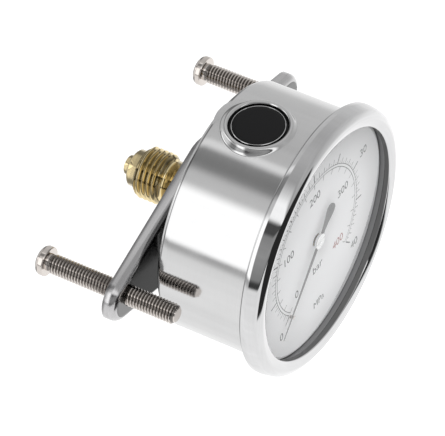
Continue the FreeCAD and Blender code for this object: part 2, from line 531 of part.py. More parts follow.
for label, sx, sz in MOUNT_SCREWS:
    part("movement_screw_" + label, joined(
        rod("mount_screw_head_r", Y_BACK_PLATE + " - mount_screw_head_h", "mount_screw_head_h", x=sx, z=sz),
        rod("mount_screw_r", Y_BACK_PLATE, "mount_screw_len", x=sx, z=sz)))

# Hairspring with its collet on the pointer's arbor and its stud on the back plate
Y_SPRING = Y_BACK_PLATE + " - 1.1"
turns = val("spring_turns")
steps = int(turns * 28)
rings = {}
for side in (-1, 1):
    rings[side] = []
    for step in range(steps + 1):
        angle = 2 * math.pi * turns * step / steps
        r = val("spring_in_r") + val("spring_pitch") * turns * step / steps + side * val("spring_th") / 2
        rings[side].append((r * math.sin(angle), r * math.cos(angle)))
part("hairspring", fixed(wire_solid(rings[1] + rings[-1][::-1], val(Y_SPRING), val("spring_h")), "spiral"))
part("hairspring_collet", cut(rod("spring_in_r - spring_th / 2", Y_SPRING, "spring_h + 0.3"),
                              rod("shaft_r", Y_SPRING, "spring_h + 0.3")))
part("hairspring_stud", rod("0.45", Y_SPRING + " - 0.1", "1.2",
                            z="spring_in_r + spring_pitch * spring_turns + spring_th / 2 + 0.45"))

# The clamp plate, the screws that hold it and the two long clamp screws
ROOT = "sqrt(plate_end_x ^ 2 + plate_apex ^ 2 - plate_end_r ^ 2)"
TAPER = "((plate_apex * plate_end_x - plate_end_r * " + ROOT + ") / (plate_end_x ^ 2 - plate_end_r ^ 2))"
TANGENT_X = "plate_end_x + plate_end_r * " + TAPER + " / sqrt(1 + " + TAPER + " ^ 2)"
TANGENT_Z = "plate_end_r / sqrt(1 + " + TAPER + " ^ 2)"
quarter = [(TANGENT_X, TANGENT_Z), ("2.4", "plate_apex - 2.4 * " + TAPER), ("0.9", "plate_apex - 1.3 * " + TAPER)]
corners = list(quarter)
corners += [("0 - (" + a + ")", b) for a, b in reversed(quarter)]
corners += [("0 - (" + a + ")", "0 - (" + b + ")") for a, b in quarter]
corners += [(a, "0 - (" + b + ")") for a, b in reversed(quarter)]
plate_blank = joined(pressed(corners, Y_PLATE_FRONT, "plate_th"),
                     rod("plate_end_r", Y_PLATE_FRONT, "plate_th", x="plate_end_x"),
                     rod("plate_end_r", Y_PLATE_FRONT, "plate_th", x="0 - plate_end_x"))
doc.recompute()
front_y = val(Y_PLATE_FRONT)
rounded = doc.addObject("Part::Fillet", "rounded")
rounded.Base = plate_blank
rounded.Edges = [(number, val("plate_edge_r"), val("plate_edge_r"))
                 for number, edge in enumerate(plate_blank.Shape.Edges, start=1)
                 if abs(edge.BoundBox.YMin - front_y) < 0.001 and abs(edge.BoundBox.YMax - front_y) < 0.001]
square = block("0 - flats_across / 2 - square_play", Y_PLATE_FRONT, "0 - flats_across / 2 - square_play",
               "flats_across + 2 * square_play", "plate_th", "flats_across + 2 * square_play")
SINK = "plate_screw_head_h * (1 - screw_hole_play / (plate_screw_head_r - plate_screw_r))"
plate_tools = [square]
for side in ("", "0 - "):
    plate_tools.append(rod("clamp_screw_r + thread_play", Y_PLATE_FRONT, "plate_th", x=side + "clamp_screw_x"))
    plate_tools.append(turned([
        ("0", "0"), ("plate_screw_head_r", "0"), ("plate_screw_r + screw_hole_play", "0 - " + SINK),
        ("plate_screw_r + screw_hole_play", "0 - plate_th"), ("0", "0 - plate_th"),
    ], x=side + "plate_screw_x", y=Y_PLATE_BACK))
part("clamp_plate", cut(rounded, *plate_tools))
for label, side in (("left", "0 - "), ("right", "")):
    part("plate_screw_" + label, turned([
        ("0", "0"), ("plate_screw_head_r", "0"), ("plate_screw_r", "0 - plate_screw_head_h"),
        ("plate_screw_r", "0 - plate_screw_len"), ("0", "0 - plate_screw_len"),
    ], x=side + "plate_screw_x", y=Y_PLATE_BACK))
Y_TIP = Y_PLATE_FRONT + " - clamp_tip_lead"
for label, side in (("left", "0 - "), ("right", "")):
    screw = turned([
        ("0", "0"), ("clamp_screw_r - clamp_tip_chamfer", "0"), ("clamp_screw_r", "clamp_tip_chamfer"),
        ("clamp_screw_r", "clamp_screw_len"), ("clamp_head_r", "clamp_screw_len"),
        ("clamp_head_r", "clamp_screw_len + clamp_head_edge"),
        ("clamp_head_r - 0.3", "clamp_screw_len + clamp_head_h - 0.75"),
        ("clamp_head_r - 0.9", "clamp_screw_len + clamp_head_h - 0.3"),
        ("clamp_head_r - 1.9", "clamp_screw_len + clamp_head_h"), ("0", "clamp_screw_len + clamp_head_h"),
    ], x=side + "clamp_screw_x", y=Y_TIP)
    Y_SLOT = Y_TIP + " + clamp_screw_len + clamp_head_h - clamp_slot_depth"
    cross = [block(side + "clamp_screw_x - " + a + " / 2", Y_SLOT, "0 - " + b + " / 2", a, "clamp_slot_depth", b)
             for a, b in (("clamp_slot_w", "clamp_slot_len"), ("clamp_slot_len", "clamp_slot_w"))]
    part("clamp_screw_" + label, cut(screw, *cross))

doc.recompute()
problems = [obj.Name + " " + obj.Label + " " + str(obj.State) for obj in doc.Objects
            if "Invalid" in obj.State or "Error" in obj.State]
for label, obj in parts:
    if not obj.Shape.isValid() or len(obj.Shape.Solids) != 1 or obj.Shape.Volume <= 0:
        problems.append("%s: valid %s, solids %d" % (label, obj.Shape.isValid(), len(obj.Shape.Solids)))
if problems:
    raise RuntimeError("; ".join(problems))
os.makedirs("parts", exist_ok=True)
for label, obj in parts:
    obj.Shape.exportStep("parts/" + label + ".step")
print(len(parts), "pieces")
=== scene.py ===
# %% [markdown]
# # A liquid-filled pressure gauge, dressed for a studio picture
# A pressure gauge of this kind is a pressed steel case with a crimped bezel, a window, a white dial and
# a brass pipe connection at its back. A clamp plate with two long screws holds it in a panel.
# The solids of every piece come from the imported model, the frame. This lesson adds what a picture
# needs: finer skins, printed marks, real threads, and metals that look like metal.
# Everything is in metres, in the frame's own axes: the dial faces -Y, +Z is up.

# %% The frame
import math

import bmesh
import bpy
from mathutils import Matrix, Vector


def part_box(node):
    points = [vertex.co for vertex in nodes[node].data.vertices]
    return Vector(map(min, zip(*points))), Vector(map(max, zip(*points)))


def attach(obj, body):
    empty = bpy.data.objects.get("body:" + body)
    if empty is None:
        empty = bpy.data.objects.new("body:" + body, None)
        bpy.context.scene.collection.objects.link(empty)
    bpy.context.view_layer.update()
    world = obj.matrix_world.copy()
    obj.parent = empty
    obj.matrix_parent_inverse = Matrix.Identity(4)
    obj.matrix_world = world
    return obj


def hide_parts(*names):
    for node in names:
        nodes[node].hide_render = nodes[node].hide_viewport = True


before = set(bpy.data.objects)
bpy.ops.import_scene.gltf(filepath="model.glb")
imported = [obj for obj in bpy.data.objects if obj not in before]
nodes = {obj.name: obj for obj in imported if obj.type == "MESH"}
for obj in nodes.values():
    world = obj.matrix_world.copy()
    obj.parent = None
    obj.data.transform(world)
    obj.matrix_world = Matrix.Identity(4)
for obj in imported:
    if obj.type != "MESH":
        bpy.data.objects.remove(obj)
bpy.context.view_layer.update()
MM = 0.001

# %% [markdown]
# ## Stations
# A turned object is described best by its stations along the axis. None is typed in twice:
# each is read from the box of the solid that it belongs to, so that a new size moves the looks too.

# %% Stations along the axis, in millimetres
def box_mm(node):
    """The lowest and highest corner of a node, in millimetres."""
    low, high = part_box(node)
    return low / MM, high / MM


BEZEL_LOW, BEZEL_HIGH = box_mm("bezel_ring")
WINDOW_LOW, WINDOW_HIGH = box_mm("window")
CASE_LOW, CASE_HIGH = box_mm("case_shell")
PLUG_LOW, PLUG_HIGH = box_mm("fill_plug")
PLATE_FRONT = box_mm("clamp_plate")[0].y
DIAL_FACE = box_mm("dial_plate")[0].y
BEZEL_R = BEZEL_HIGH.x
PLUG_Y = (PLUG_LOW.y + PLUG_HIGH.y) / 2
print("bezel radius", round(BEZEL_R, 2), "and the plug's place", round(PLUG_Y, 2))

# %% [markdown]
# ## Camera
# The picture is taken from above the dial's left shoulder with a long lens, so that the case looks
# nearly as it would in a drawing. The camera is placed by its own position and the point it looks at.

# %% Camera
CAMERA_AT = Vector((-520.68, -354.19, 651.14)) * MM
LOOKS_AT = Vector((-17.72, -29.35, 16.68)) * MM
CAMERA_ROLL = math.radians(-3.169)
LENS, SENSOR = 306.75, 36.0
camera_data = bpy.data.cameras.new("camera")
camera_data.sensor_fit = "HORIZONTAL"
camera_data.sensor_width = SENSOR
camera_data.lens = LENS
camera_data.clip_end = 10.0
camera = bpy.data.objects.new("camera", camera_data)
camera.location = CAMERA_AT
aim = (LOOKS_AT - CAMERA_AT).to_track_quat("-Z", "Y").to_matrix()
camera.rotation_euler = (aim @ Matrix.Rotation(CAMERA_ROLL, 3, "Z")).to_euler()
bpy.context.scene.collection.objects.link(camera)
bpy.context.scene.camera = camera
print("camera distance in mm:", round((LOOKS_AT - CAMERA_AT).length / MM, 1))

# %% [markdown]
# ## Writing node trees as sums
# Node trees are slow to read when each node takes five lines. Here one function places a node with its
# settings and inputs, and a small class lets a socket be added, multiplied or compared like a number.
# The same class serves the materials, the studio's light and the Geometry Nodes of the threads.

# %% Placing nodes
class Wire:
    """An output socket. Arithmetic on it adds Math nodes to its tree."""

    def __init__(self, tree, socket):
        self.tree, self.socket = tree, socket

    def maths(self, operation, *others):
        return place(self.tree, "ShaderNodeMath", {"operation": operation}, [self, *others])

    def __add__(self, other):
        return self.maths("ADD", other)

    def __sub__(self, other):
        return self.maths("SUBTRACT", other)

    def __rsub__(self, other):
        return self.maths("MULTIPLY_ADD", -1.0, other)

    def __mul__(self, other):
        return self.maths("MULTIPLY", other)

    def __truediv__(self, other):
        return self.maths("DIVIDE", other)

    def __rtruediv__(self, other):
        return place(self.tree, "ShaderNodeMath", {"operation": "DIVIDE"}, [other, self])

    def __pow__(self, other):
        return self.maths("POWER", other)

    def __gt__(self, other):
        return self.maths("GREATER_THAN", other)

    def __lt__(self, other):
        return self.maths("LESS_THAN", other)

    def __abs__(self):
        return self.maths("ABSOLUTE")

    def least(self, other):
        return self.maths("MINIMUM", other)

    def most(self, other):
        return self.maths("MAXIMUM", other)

    def steps(self, start, end, low=0.0, high=1.0):
        """Smoothly from low to high while this value goes from start to end."""
        return place(self.tree, "ShaderNodeMapRange", {"interpolation_type": "SMOOTHSTEP"},
                     [self, start, end, low, high])

    __radd__, __rmul__ = __add__, __mul__


def place(tree, kind, settings=None, values=(), output=0):
    """Add a node: its settings first, then the values or links of its sockets."""
    node = tree.nodes.new(kind)
    for key, value in (settings or {}).items():
        if key == "stops":
            ramp = node.color_ramp
            while len(ramp.elements) < len(value):
                ramp.elements.new(0.5)
            for element, (position, colour) in zip(ramp.elements, value):
                element.position, element.color = position, (*colour, 1.0)
        else:
            setattr(node, key, value)
    for key, value in (values.items() if isinstance(values, dict) else enumerate(values)):
        if isinstance(value, Wire):
            tree.links.new(value.socket, node.inputs[key])
        else:
            node.inputs[key].default_value = value
    return Wire(tree, node.outputs[output])


def grey(value):
    """A neutral colour with its opaque fourth number."""
    return (value, value, value, 1.0)


def mixed(factor, first, second):
    """First where the factor is 0, second where it is 1. Both are colours."""
    return place(factor.tree, "ShaderNodeMix", {"data_type": "RGBA"}, {0: factor, 6: first, 7: second}, 2)


print("node helpers are ready")

# %% [markdown]
# ## Metals that were worked by a tool
# Drawn, brushed and turned steel all show fine grooves that follow the tool. On the case they run
# round the axis, so the groove pattern is noise that hardly changes along the circle and changes fast
# along Y. A Bump node tilts the surface by that noise, and the tilt smears reflections along the axis,
# as real brushing does, while it leaves them sharp round the circle. Colour stays nearly even,
# because bare metal takes its light and dark from what it mirrors. Only the roots of the threads get
# painted shade, darker towards the root.

# %% A base for all materials
def new_material(name, **fixed):
    """A material with one Principled shader. Its constant values go straight on the sockets."""
    material = bpy.data.materials.new(name)
    material.use_nodes = True
    tree = material.node_tree
    shader = next(node for node in tree.nodes if node.type == "BSDF_PRINCIPLED")
    for socket_name, value in fixed.items():
        shader.inputs[socket_name.replace("_", " ")].default_value = value
    return material, tree, shader


def own_place(tree):
    """Object coordinates, as a Wire."""
    return place(tree, "ShaderNodeTexCoord", output=3)


def split(wire):
    """The three numbers of a vector."""
    first = place(wire.tree, "ShaderNodeSeparateXYZ", None, [wire])
    return [Wire(wire.tree, socket) for socket in first.socket.node.outputs]


def noise(point, scale, detail=2.0, stretch=(1.0, 1.0, 1.0)):
    """Noise at so many cells per metre, pulled out along some axes."""
    tree = point.tree
    pulled = place(tree, "ShaderNodeMapping", None, {0: point, 3: stretch})
    return place(tree, "ShaderNodeTexNoise", None, {"Vector": pulled, "Scale": scale, "Detail": detail})


def link_to(shader, socket_name, wire):
    """Let a Wire feed one of the shader's sockets."""
    wire.tree.links.new(wire.socket, shader.inputs[socket_name])


def bumped(shader, height, distance):
    """Tilt the surface by a height from 0 to 1 that stands for this many metres."""
    normal = place(height.tree, "ShaderNodeBump", None,
                   {"Strength": 1.0, "Distance": distance, "Height": height})
    link_to(shader, "Normal", normal)


BROAD_CELLS, PATCH_CELLS = 160.0, 90.0


def worked_metal(name, colour, roughness, grain, stretch, depth, spread=0.04, shade=0.05, painted_shade=None):
    """Metal with tool grooves: grain is cells per metre, depth is their height in metres."""
    material, tree, shader = new_material(name, Metallic=1.0)
    where = own_place(tree)
    fine = noise(where, grain, 2.0, stretch)
    broad = noise(where, BROAD_CELLS, 3.0)
    tint = (1.0 - shade) + fine * shade + (broad - 0.5) * shade
    # Painted shade, where a metal is given it, darkens its colour
    if painted_shade:
        tint = tint * painted_shade(where)
    base = place(tree, "ShaderNodeVectorMath", {"operation": "SCALE"}, {0: colour, "Scale": tint})
    link_to(shader, "Base Color", base)
    link_to(shader, "Roughness", roughness + (broad - 0.5) * spread * 2.0 + (fine - 0.5) * spread)
    bumped(shader, fine, depth)
    return material


def shaded_roots_of_screws(where):
    """Painted shade darkens the thread roots of both long screws, but not their tips and heads."""
    shade_r, lit_r, root_shade, tip, head = 0.00205, 0.00245, 0.30, 0.0002, 0.003
    x, y, z = split(where)
    low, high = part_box("clamp_screw_right")
    aside = abs(x) - (low.x + high.x) / 2
    radius = (aside * aside + z * z) ** 0.5
    return radius.steps(shade_r, lit_r, root_shade, 1.0).most(y < low.y + tip).most(y > high.y - head)


def shaded_roots_of_pipe(where):
    """The same painted shade in the roots of the pipe thread, along its own length only."""
    shade_r, lit_r, root_shade, half_length = 0.0057, 0.0063, 0.40, 0.00352
    x, y, z = split(where)
    radius = (x * x + z * z) ** 0.5
    return radius.steps(shade_r, lit_r, root_shade, 1.0).most(abs(y) > half_length)


ROUND_Y, ROUND_PLATE, EVEN = (0.03, 1.0, 0.03), (0.05, 1.0, 0.05), (1.0, 1.0, 1.0)
CASE_STEEL = worked_metal("case_brushed_steel", (0.62, 0.62, 0.622), 0.11, 5200.0, ROUND_Y, 0.0000022)
BEZEL_STEEL = worked_metal("bezel_polished_steel", (0.64, 0.64, 0.645), 0.05, 2600.0, ROUND_Y, 0.0000008,
                           spread=0.02)
PLATE_STEEL = worked_metal("plate_steel", (0.58, 0.575, 0.58), 0.20, 2400.0, ROUND_PLATE, 0.000004,
                           shade=0.2)
# The plate's face towards the case: its dark colour is painted shade for the gap between plate and case
PLATE_INSIDE_SHADED = worked_metal("plate_inside_shaded_steel", (0.17, 0.17, 0.17), 0.09, 2400.0, ROUND_PLATE, 0.000001)
# Both threads get painted shade in their roots
LONG_SCREW_STEEL = worked_metal("long_screw_steel", (0.64, 0.595, 0.56), 0.09, 1500.0, EVEN, 0.000001,
                                painted_shade=shaded_roots_of_screws)
PIPE_BRASS = worked_metal("pipe_brass", (0.78, 0.64, 0.36), 0.08, 3000.0, ROUND_Y, 0.0000012,
                          painted_shade=shaded_roots_of_pipe)
SCREW_STEEL = worked_metal("screw_steel", (0.55, 0.51, 0.48), 0.14, 1500.0, EVEN, 0.000001)
# The case's back: rougher steel whose darker colour is painted shade for the gap behind the plate
DULL_AND_SHADED_STEEL = worked_metal("case_back_shaded_steel", (0.30, 0.30, 0.30), 0.30, 900.0, EVEN, 0.000003)
TURNED_BRASS = worked_metal("turned_brass", (0.70, 0.56, 0.30), 0.12, 3000.0, ROUND_Y, 0.0000015)
SHEET_BRASS = worked_metal("sheet_brass", (0.80, 0.64, 0.34), 0.28, 900.0, EVEN, 0.000003)
DRAWN_BRONZE = worked_metal("drawn_bronze", (0.76, 0.50, 0.30), 0.30, 1200.0, (1.0, 0.2, 1.0), 0.000003)
HUB_STEEL = worked_metal("hub_steel", (0.80, 0.80, 0.80), 0.20, 3000.0, (1.0, 0.05, 1.0), 0.000001)
print("metals:", ", ".join(m.name for m in (CASE_STEEL, BEZEL_STEEL, PLATE_STEEL, SCREW_STEEL)))

# %% [markdown]
# ## Paint, print and rubber
# The dial is sheet aluminium under matt white lacquer, which has a faint orange-peel skin. The print is
# ink that covers it evenly. The plug and the gaskets are moulded rubber: dark, slightly soft in its
# gloss, and with a very fine grain from the mould.

# %% Paint, print and rubber
def coated(name, colour, roughness, grain, depth, shade=0.04, **fixed):
    """Paint, ink or rubber: an even colour with slight patches and a fine skin."""
    material, tree, shader = new_material(name, **fixed)
    where = own_place(tree)
    skin, patch = noise(where, grain, 3.0), noise(where, PATCH_CELLS, 2.0)
    base = place(tree, "ShaderNodeVectorMath", {"operation": "SCALE"},
                 {0: colour, "Scale": 1.0 + (patch - 0.5) * shade * 2.0})
    link_to(shader, "Base Color", base)
    link_to(shader, "Roughness", roughness + (skin - 0.5) * 0.1)
    bumped(shader, skin, depth)
    return material


DIAL_WHITE = coated("dial_lacquer", (0.80, 0.80, 0.81), 0.55, 2500.0, 0.000004)
INK_BLACK = coated("ink_black", (0.035, 0.035, 0.04), 0.6, 4000.0, 0.000002)
INK_RED = coated("ink_red", (0.26, 0.045, 0.04), 0.6, 4000.0, 0.000002)
POINTER_BLACK = coated("pointer_lacquer", (0.14, 0.14, 0.145), 0.4, 3000.0, 0.000003)
PLUG_RUBBER = coated("plug_rubber", (0.004, 0.004, 0.0045), 0.42, 5000.0, 0.000003, Specular_IOR_Level=0.2)
SEAL_RUBBER = coated("seal_rubber", (0.10, 0.10, 0.10), 0.55, 3000.0, 0.00001)
CASE_INSIDE = coated("case_inside", (0.20, 0.20, 0.205), 0.5, 1500.0, 0.000003)
print("coats:", ", ".join(m.name for m in (DIAL_WHITE, INK_BLACK, INK_RED, PLUG_RUBBER)))

# %% [markdown]
# ## The window's glass
# Behind the window the gauge is filled with glycerine, which bends light as glass does. So light bends
# only once, at the outer face. The outer face and the rim get a glass shader, and the inner face is
# left clear, with an alpha of 0, as if it weren't there. That brings the dial nearer to the
# eye, just as the liquid does.

# %% Glass
WINDOW_GLASS, glass_tree, glass_shader = new_material(
    "window_glass", IOR=1.47, Transmission_Weight=1.0, Roughness=0.0, Base_Color=(0.97, 0.98, 0.98, 1.0))
haze = noise(own_place(glass_tree), 60.0, 2.0)
link_to(glass_shader, "Roughness", haze * 0.01)
WET_FACE = new_material("wet_face", Alpha=0.0, IOR=1.0)[0]
print("glass bends light by", round(glass_shader.inputs["IOR"].default_value, 2))

# %% [markdown]
# ## Turned pieces
# The case, bezel, window and plug were all spun or pressed round one axis. A lathe helper makes each
# from its half outline, a list of radius and height. It closes the outline into a solid with real
# thickness, which matters for glass and for seams. Corners marked with a radius are rounded first,
# because an edge without a radius reflects nothing and looks like paper.

# %% The lathe
def softened(outline, steps=4):
    """Round each corner that carries a third number, its radius."""
    result = []
    count = len(outline)
    for index, corner in enumerate(outline):
        here = Vector(corner[:2])
        if len(corner) < 3:
            result.append(tuple(here))
            continue
        before, after = Vector(outline[index - 1][:2]), Vector(outline[(index + 1) % count][:2])
        to_before, to_after = (before - here).normalized(), (after - here).normalized()
        half = to_before.angle(to_after) / 2
        reach = min(corner[2] / math.tan(half), 0.49 * (before - here).length, 0.49 * (after - here).length)
        radius = reach * math.tan(half)
        centre = here + (to_before + to_after).normalized() * (radius / math.sin(half))
        first, last = here + to_before * reach - centre, here + to_after * reach - centre
        turn = first.angle_signed(last)
        for step in range(steps + 1):
            result.append(tuple(centre + Matrix.Rotation(-turn * step / steps, 2) @ first))
    return result


def eased(points, steps=3):
    """A smooth run through all the points."""
    result = []
    for index in range(len(points) - 1):
        a, b = Vector(points[max(index - 1, 0)]), Vector(points[index])
        c, d = Vector(points[index + 1]), Vector(points[min(index + 2, len(points) - 1)])
        for step in range(steps):
            t = step / steps
            result.append(tuple(0.5 * ((2 * b) + (c - a) * t + (2 * a - 5 * b + 4 * c - d) * t * t
                                       + (3 * b - a - 3 * c + d) * t ** 3)))
    return result + [tuple(points[-1])]


def lathe(outline, sides=192, upright=False, centre=(0.0, 0.0, 0.0)):
    """A closed mesh, in millimetres, turned about Y, or about Z where upright."""
    work = bmesh.new()
    rings = []
    for radius, height in outline:
        around = [0.0] if radius < 1e-6 else [math.tau * side / sides for side in range(sides)]
        ring = []
        for angle in around:
            across, along = radius * math.sin(angle), radius * math.cos(angle)
            spot = (across, along, height) if upright else (across, height, along)
            ring.append(work.verts.new(Vector(spot) + Vector(centre)))
        rings.append(ring)
    for first, second in zip(rings, rings[1:] + rings[:1]):
        for side in range(sides):
            corners = [first[side % len(first)], first[(side + 1) % len(first)],
                       second[(side + 1) % len(second)], second[side % len(second)]]
            corners = list(dict.fromkeys(corners))
            if len(corners) > 2:
                work.faces.new(corners)
    bmesh.ops.recalc_face_normals(work, faces=work.faces)
    return work


def finished(name, work, material, body="gauge", stands_for=(), crease=32.0):
    """Turn a mesh in millimetres into a piece that rides on its body."""
    mesh = bpy.data.meshes.new(name)
    if isinstance(work, bmesh.types.BMesh):
        work.to_mesh(mesh)
        work.free()
        mesh.transform(Matrix.Scale(MM, 4))
    else:
        mesh = work
        mesh.name = name
    for layer in material if isinstance(material, (list, tuple)) else [material]:
        mesh.materials.append(layer)
    mesh.shade_smooth()
    mesh.set_sharp_from_angle(angle=math.radians(crease))
    piece = bpy.data.objects.new(name, mesh)
    bpy.context.scene.collection.objects.link(piece)
    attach(piece, body)
    if stands_for:
        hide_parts(*stands_for)
    print(name, "has", len(mesh.polygons), "faces")
    return piece


# %% [markdown]
# ## The case
# The case is one deep-drawn cup: a back with a raised middle, a rounded corner, a long wall and a
# rolled flange under the bezel. Its wall has a hole under the fill plug. The wall's faces there are left
# out of the inner and the outer skin alike, and the edge between the two skins is closed. The wall
# is brushed outside, and the inside is grey. The back is rougher, and its darker colour is painted
# shade for the dark gap behind the clamp plate.

# %% The case's cup
WALL, CORNER_R, BOSS_R, BOSS_H = 0.7, 2.0, 18.0, 3.8
SEAT_HOLE_R, SOCKET_HOLE_R, FLANGE_THICK, ROW_STEP, FINE_SIDES = 9.0, 9.0, 0.6, 0.8, 256
CASE_R = BEZEL_R - 3.0
FLANGE_R = CASE_HIGH.x
CASE_BACK = CASE_HIGH.y - BOSS_H
FLANGE_BACK = CASE_LOW.y + FLANGE_THICK
row_count = int((CASE_BACK - CORNER_R - FLANGE_BACK) / ROW_STEP)
wall_rows = [FLANGE_BACK + 0.5 + ROW_STEP * row for row in range(row_count)]
wall_rows = [row for row in wall_rows if row < CASE_BACK - CORNER_R - 0.4]
outer = [(CASE_R, row) for row in wall_rows]
inner = [(CASE_R - WALL, row) for row in reversed(wall_rows)]
outline = softened(
    [(CASE_R, FLANGE_BACK + 0.02), *outer, (CASE_R, CASE_BACK, CORNER_R), (BOSS_R, CASE_BACK, 0.8),
     (BOSS_R, CASE_HIGH.y, 1.0), (SOCKET_HOLE_R, CASE_HIGH.y), (SOCKET_HOLE_R, CASE_HIGH.y - WALL),
     (BOSS_R - WALL, CASE_HIGH.y - WALL), (BOSS_R - WALL, CASE_BACK - WALL, 0.4),
     (CASE_R - WALL, CASE_BACK - WALL, CORNER_R - WALL), *inner,
     (CASE_R - WALL, CASE_LOW.y), (FLANGE_R, CASE_LOW.y), (FLANGE_R, FLANGE_BACK),
     (CASE_R, FLANGE_BACK - 0.01)], 6)
cup = lathe(outline, FINE_SIDES)


def under_plug(face):
    """Whether a face of the wall lies under the plug."""
    middle = face.calc_center_median()
    from_plug = math.hypot(middle.x, middle.y - PLUG_Y)
    in_wall = middle.xz.length > CASE_R - 2 * WALL
    return in_wall and middle.z > 0 and from_plug < SEAT_HOLE_R * middle.xz.length / CASE_R


gone = [face for face in cup.faces if under_plug(face)]
bmesh.ops.delete(cup, geom=gone, context="FACES")
rim = [edge for edge in cup.edges if edge.is_boundary]
bmesh.ops.bridge_loops(cup, edges=rim)
bmesh.ops.recalc_face_normals(cup, faces=cup.faces)
print("faces left out under the plug:", len(gone), "and edges still open:",
      sum(edge.is_boundary for edge in cup.edges))
for face in cup.faces:
    middle = face.calc_center_median()
    inwards = face.normal.x * middle.x + face.normal.z * middle.z < -0.5 * middle.xz.length
    # Inner faces take the grey coat, and the back takes the steel that is darkened as painted shade
    face.material_index = 1 if inwards else 2 if middle.y > CASE_BACK - 0.3 else 0
finished("case_cup", cup, [CASE_STEEL, CASE_INSIDE, DULL_AND_SHADED_STEEL], stands_for=("case_shell",))

# %% [markdown]
# ## The seat of the fill plug
# A punch presses a flat seat with a rounded edge out of the curved wall. Rings about the plug's own
# axis describe it: flat at the lip, then a short steep skirt down to the wall, and on under the wall's
# edge, a hair below it, so that no edge shows. The same rings run down into the recess, over a thin
# lip that holds the plug, and through the hole. The groove outside that lip has a black rubber floor,
# painted shade for the dark recess.

# %% The seat
SEAT_TOP, SEAT_FLOOR, RECESS_R, HOLE_R = CASE_R + 0.5, PLUG_LOW.z + 3.4, 7.05, 4.8
LIP_END, SKIRT_END, SEAT_END = 7.85, 9.0, 10.7
SEAT_SIDES, SEAT_ROWS, SEAT_STEP = 144, 31, 0.1
PLUG_LIP_IN, PLUG_LIP_OUT, PLUG_LIP_TOP = 6.22, 6.42, SEAT_FLOOR + 0.75


def wall_height(radius, angle, drop=0.0):
    """The height of the case's wall at a place round the plug."""
    return math.sqrt((CASE_R - drop) ** 2 - (radius * math.sin(angle)) ** 2)


def seat_height(radius, angle):
    """The seat's upper side: a flat lip that eases into the wall."""
    t = min(max((radius - LIP_END) / (SKIRT_END - LIP_END), 0.0), 1.0)
    ease = 1.0 - t * t * (3.0 - 2.0 * t)
    wall = wall_height(radius, angle)
    under = max(radius - SKIRT_END, 0.0) / (SEAT_END - SKIRT_END)
    return wall + (SEAT_TOP - wall) * ease - 0.03 * under ** 2


seat = bmesh.new()
lip = [(RECESS_R, SEAT_TOP - 0.45), (RECESS_R + 0.06, SEAT_TOP - 0.22), (RECESS_R + 0.2, SEAT_TOP - 0.06),
       (RECESS_R + 0.42, SEAT_TOP)]
rows = [(SEAT_END - SEAT_STEP * step, seat_height) for step in range(SEAT_ROWS)]
rows += [(radius, height) for radius, height in reversed(lip)]
rows += [(RECESS_R, SEAT_FLOOR + 0.15), (RECESS_R - 0.15, SEAT_FLOOR), (PLUG_LIP_OUT, SEAT_FLOOR),
         (PLUG_LIP_OUT, PLUG_LIP_TOP - 0.06), (PLUG_LIP_OUT - 0.06, PLUG_LIP_TOP),
         (PLUG_LIP_IN + 0.04, PLUG_LIP_TOP), (PLUG_LIP_IN, PLUG_LIP_TOP - 0.06), (PLUG_LIP_IN, SEAT_FLOOR),
         (HOLE_R, SEAT_FLOOR), (HOLE_R, SEAT_FLOOR - 0.7),
         (SEAT_END, lambda radius, angle: wall_height(radius, angle, 0.65))]
seat_rings = []
for radius, height in rows:
    seat_rings.append([
        seat.verts.new((radius * math.sin(angle), PLUG_Y + radius * math.cos(angle),
                        height(radius, angle) if callable(height) else height))
        for angle in (math.tau * side / SEAT_SIDES for side in range(SEAT_SIDES))])
for first, second in zip(seat_rings, seat_rings[1:] + seat_rings[:1]):
    for side in range(SEAT_SIDES):
        seat.faces.new((first[side], first[side - 1], second[side - 1], second[side]))
bmesh.ops.recalc_face_normals(seat, faces=seat.faces)
# The groove's floor outside the plug's lip takes the black rubber as painted shade for the dark recess
for face in seat.faces:
    spot = face.calc_center_median()
    from_plug = math.hypot(spot.x, spot.y - PLUG_Y)
    face.material_index = int(PLUG_LIP_OUT - 0.01 < from_plug < RECESS_R - 0.02 and spot.z < SEAT_FLOOR + 0.5)
finished("plug_seat", seat, [CASE_STEEL, PLUG_RUBBER])

# %% [markdown]
# ## Plug, bezel and window
# The rubber plug fills the thin lip, so it shows as a black disc with a fine bright ring round it. The
# bezel is a spun ring. Its crown and its side, which leans forward, are one smooth run through a few
# points, its back is hemmed over the case's flange, and the edge of its opening is dark with the seal.
# The window is a plain disc with slightly broken edges.

# %% Plug
PLUG_R = PLUG_LIP_IN - 0.04
plug_outline = softened([
    (0.0, PLUG_LOW.z), (4.2, PLUG_LOW.z, 0.2), (HOLE_R - 0.05, SEAT_FLOOR - 1.6), (HOLE_R - 0.05, SEAT_FLOOR),
    (PLUG_R, SEAT_FLOOR, 0.1), (PLUG_R, PLUG_HIGH.z - 0.05, 0.3), (PLUG_R - 1.0, PLUG_HIGH.z - 0.01),
    (0.0, PLUG_HIGH.z)])
finished("oil_plug", lathe(plug_outline, 128, True, (0.0, PLUG_Y, 0.0)), PLUG_RUBBER,
         "fill_plug", ("fill_plug",))

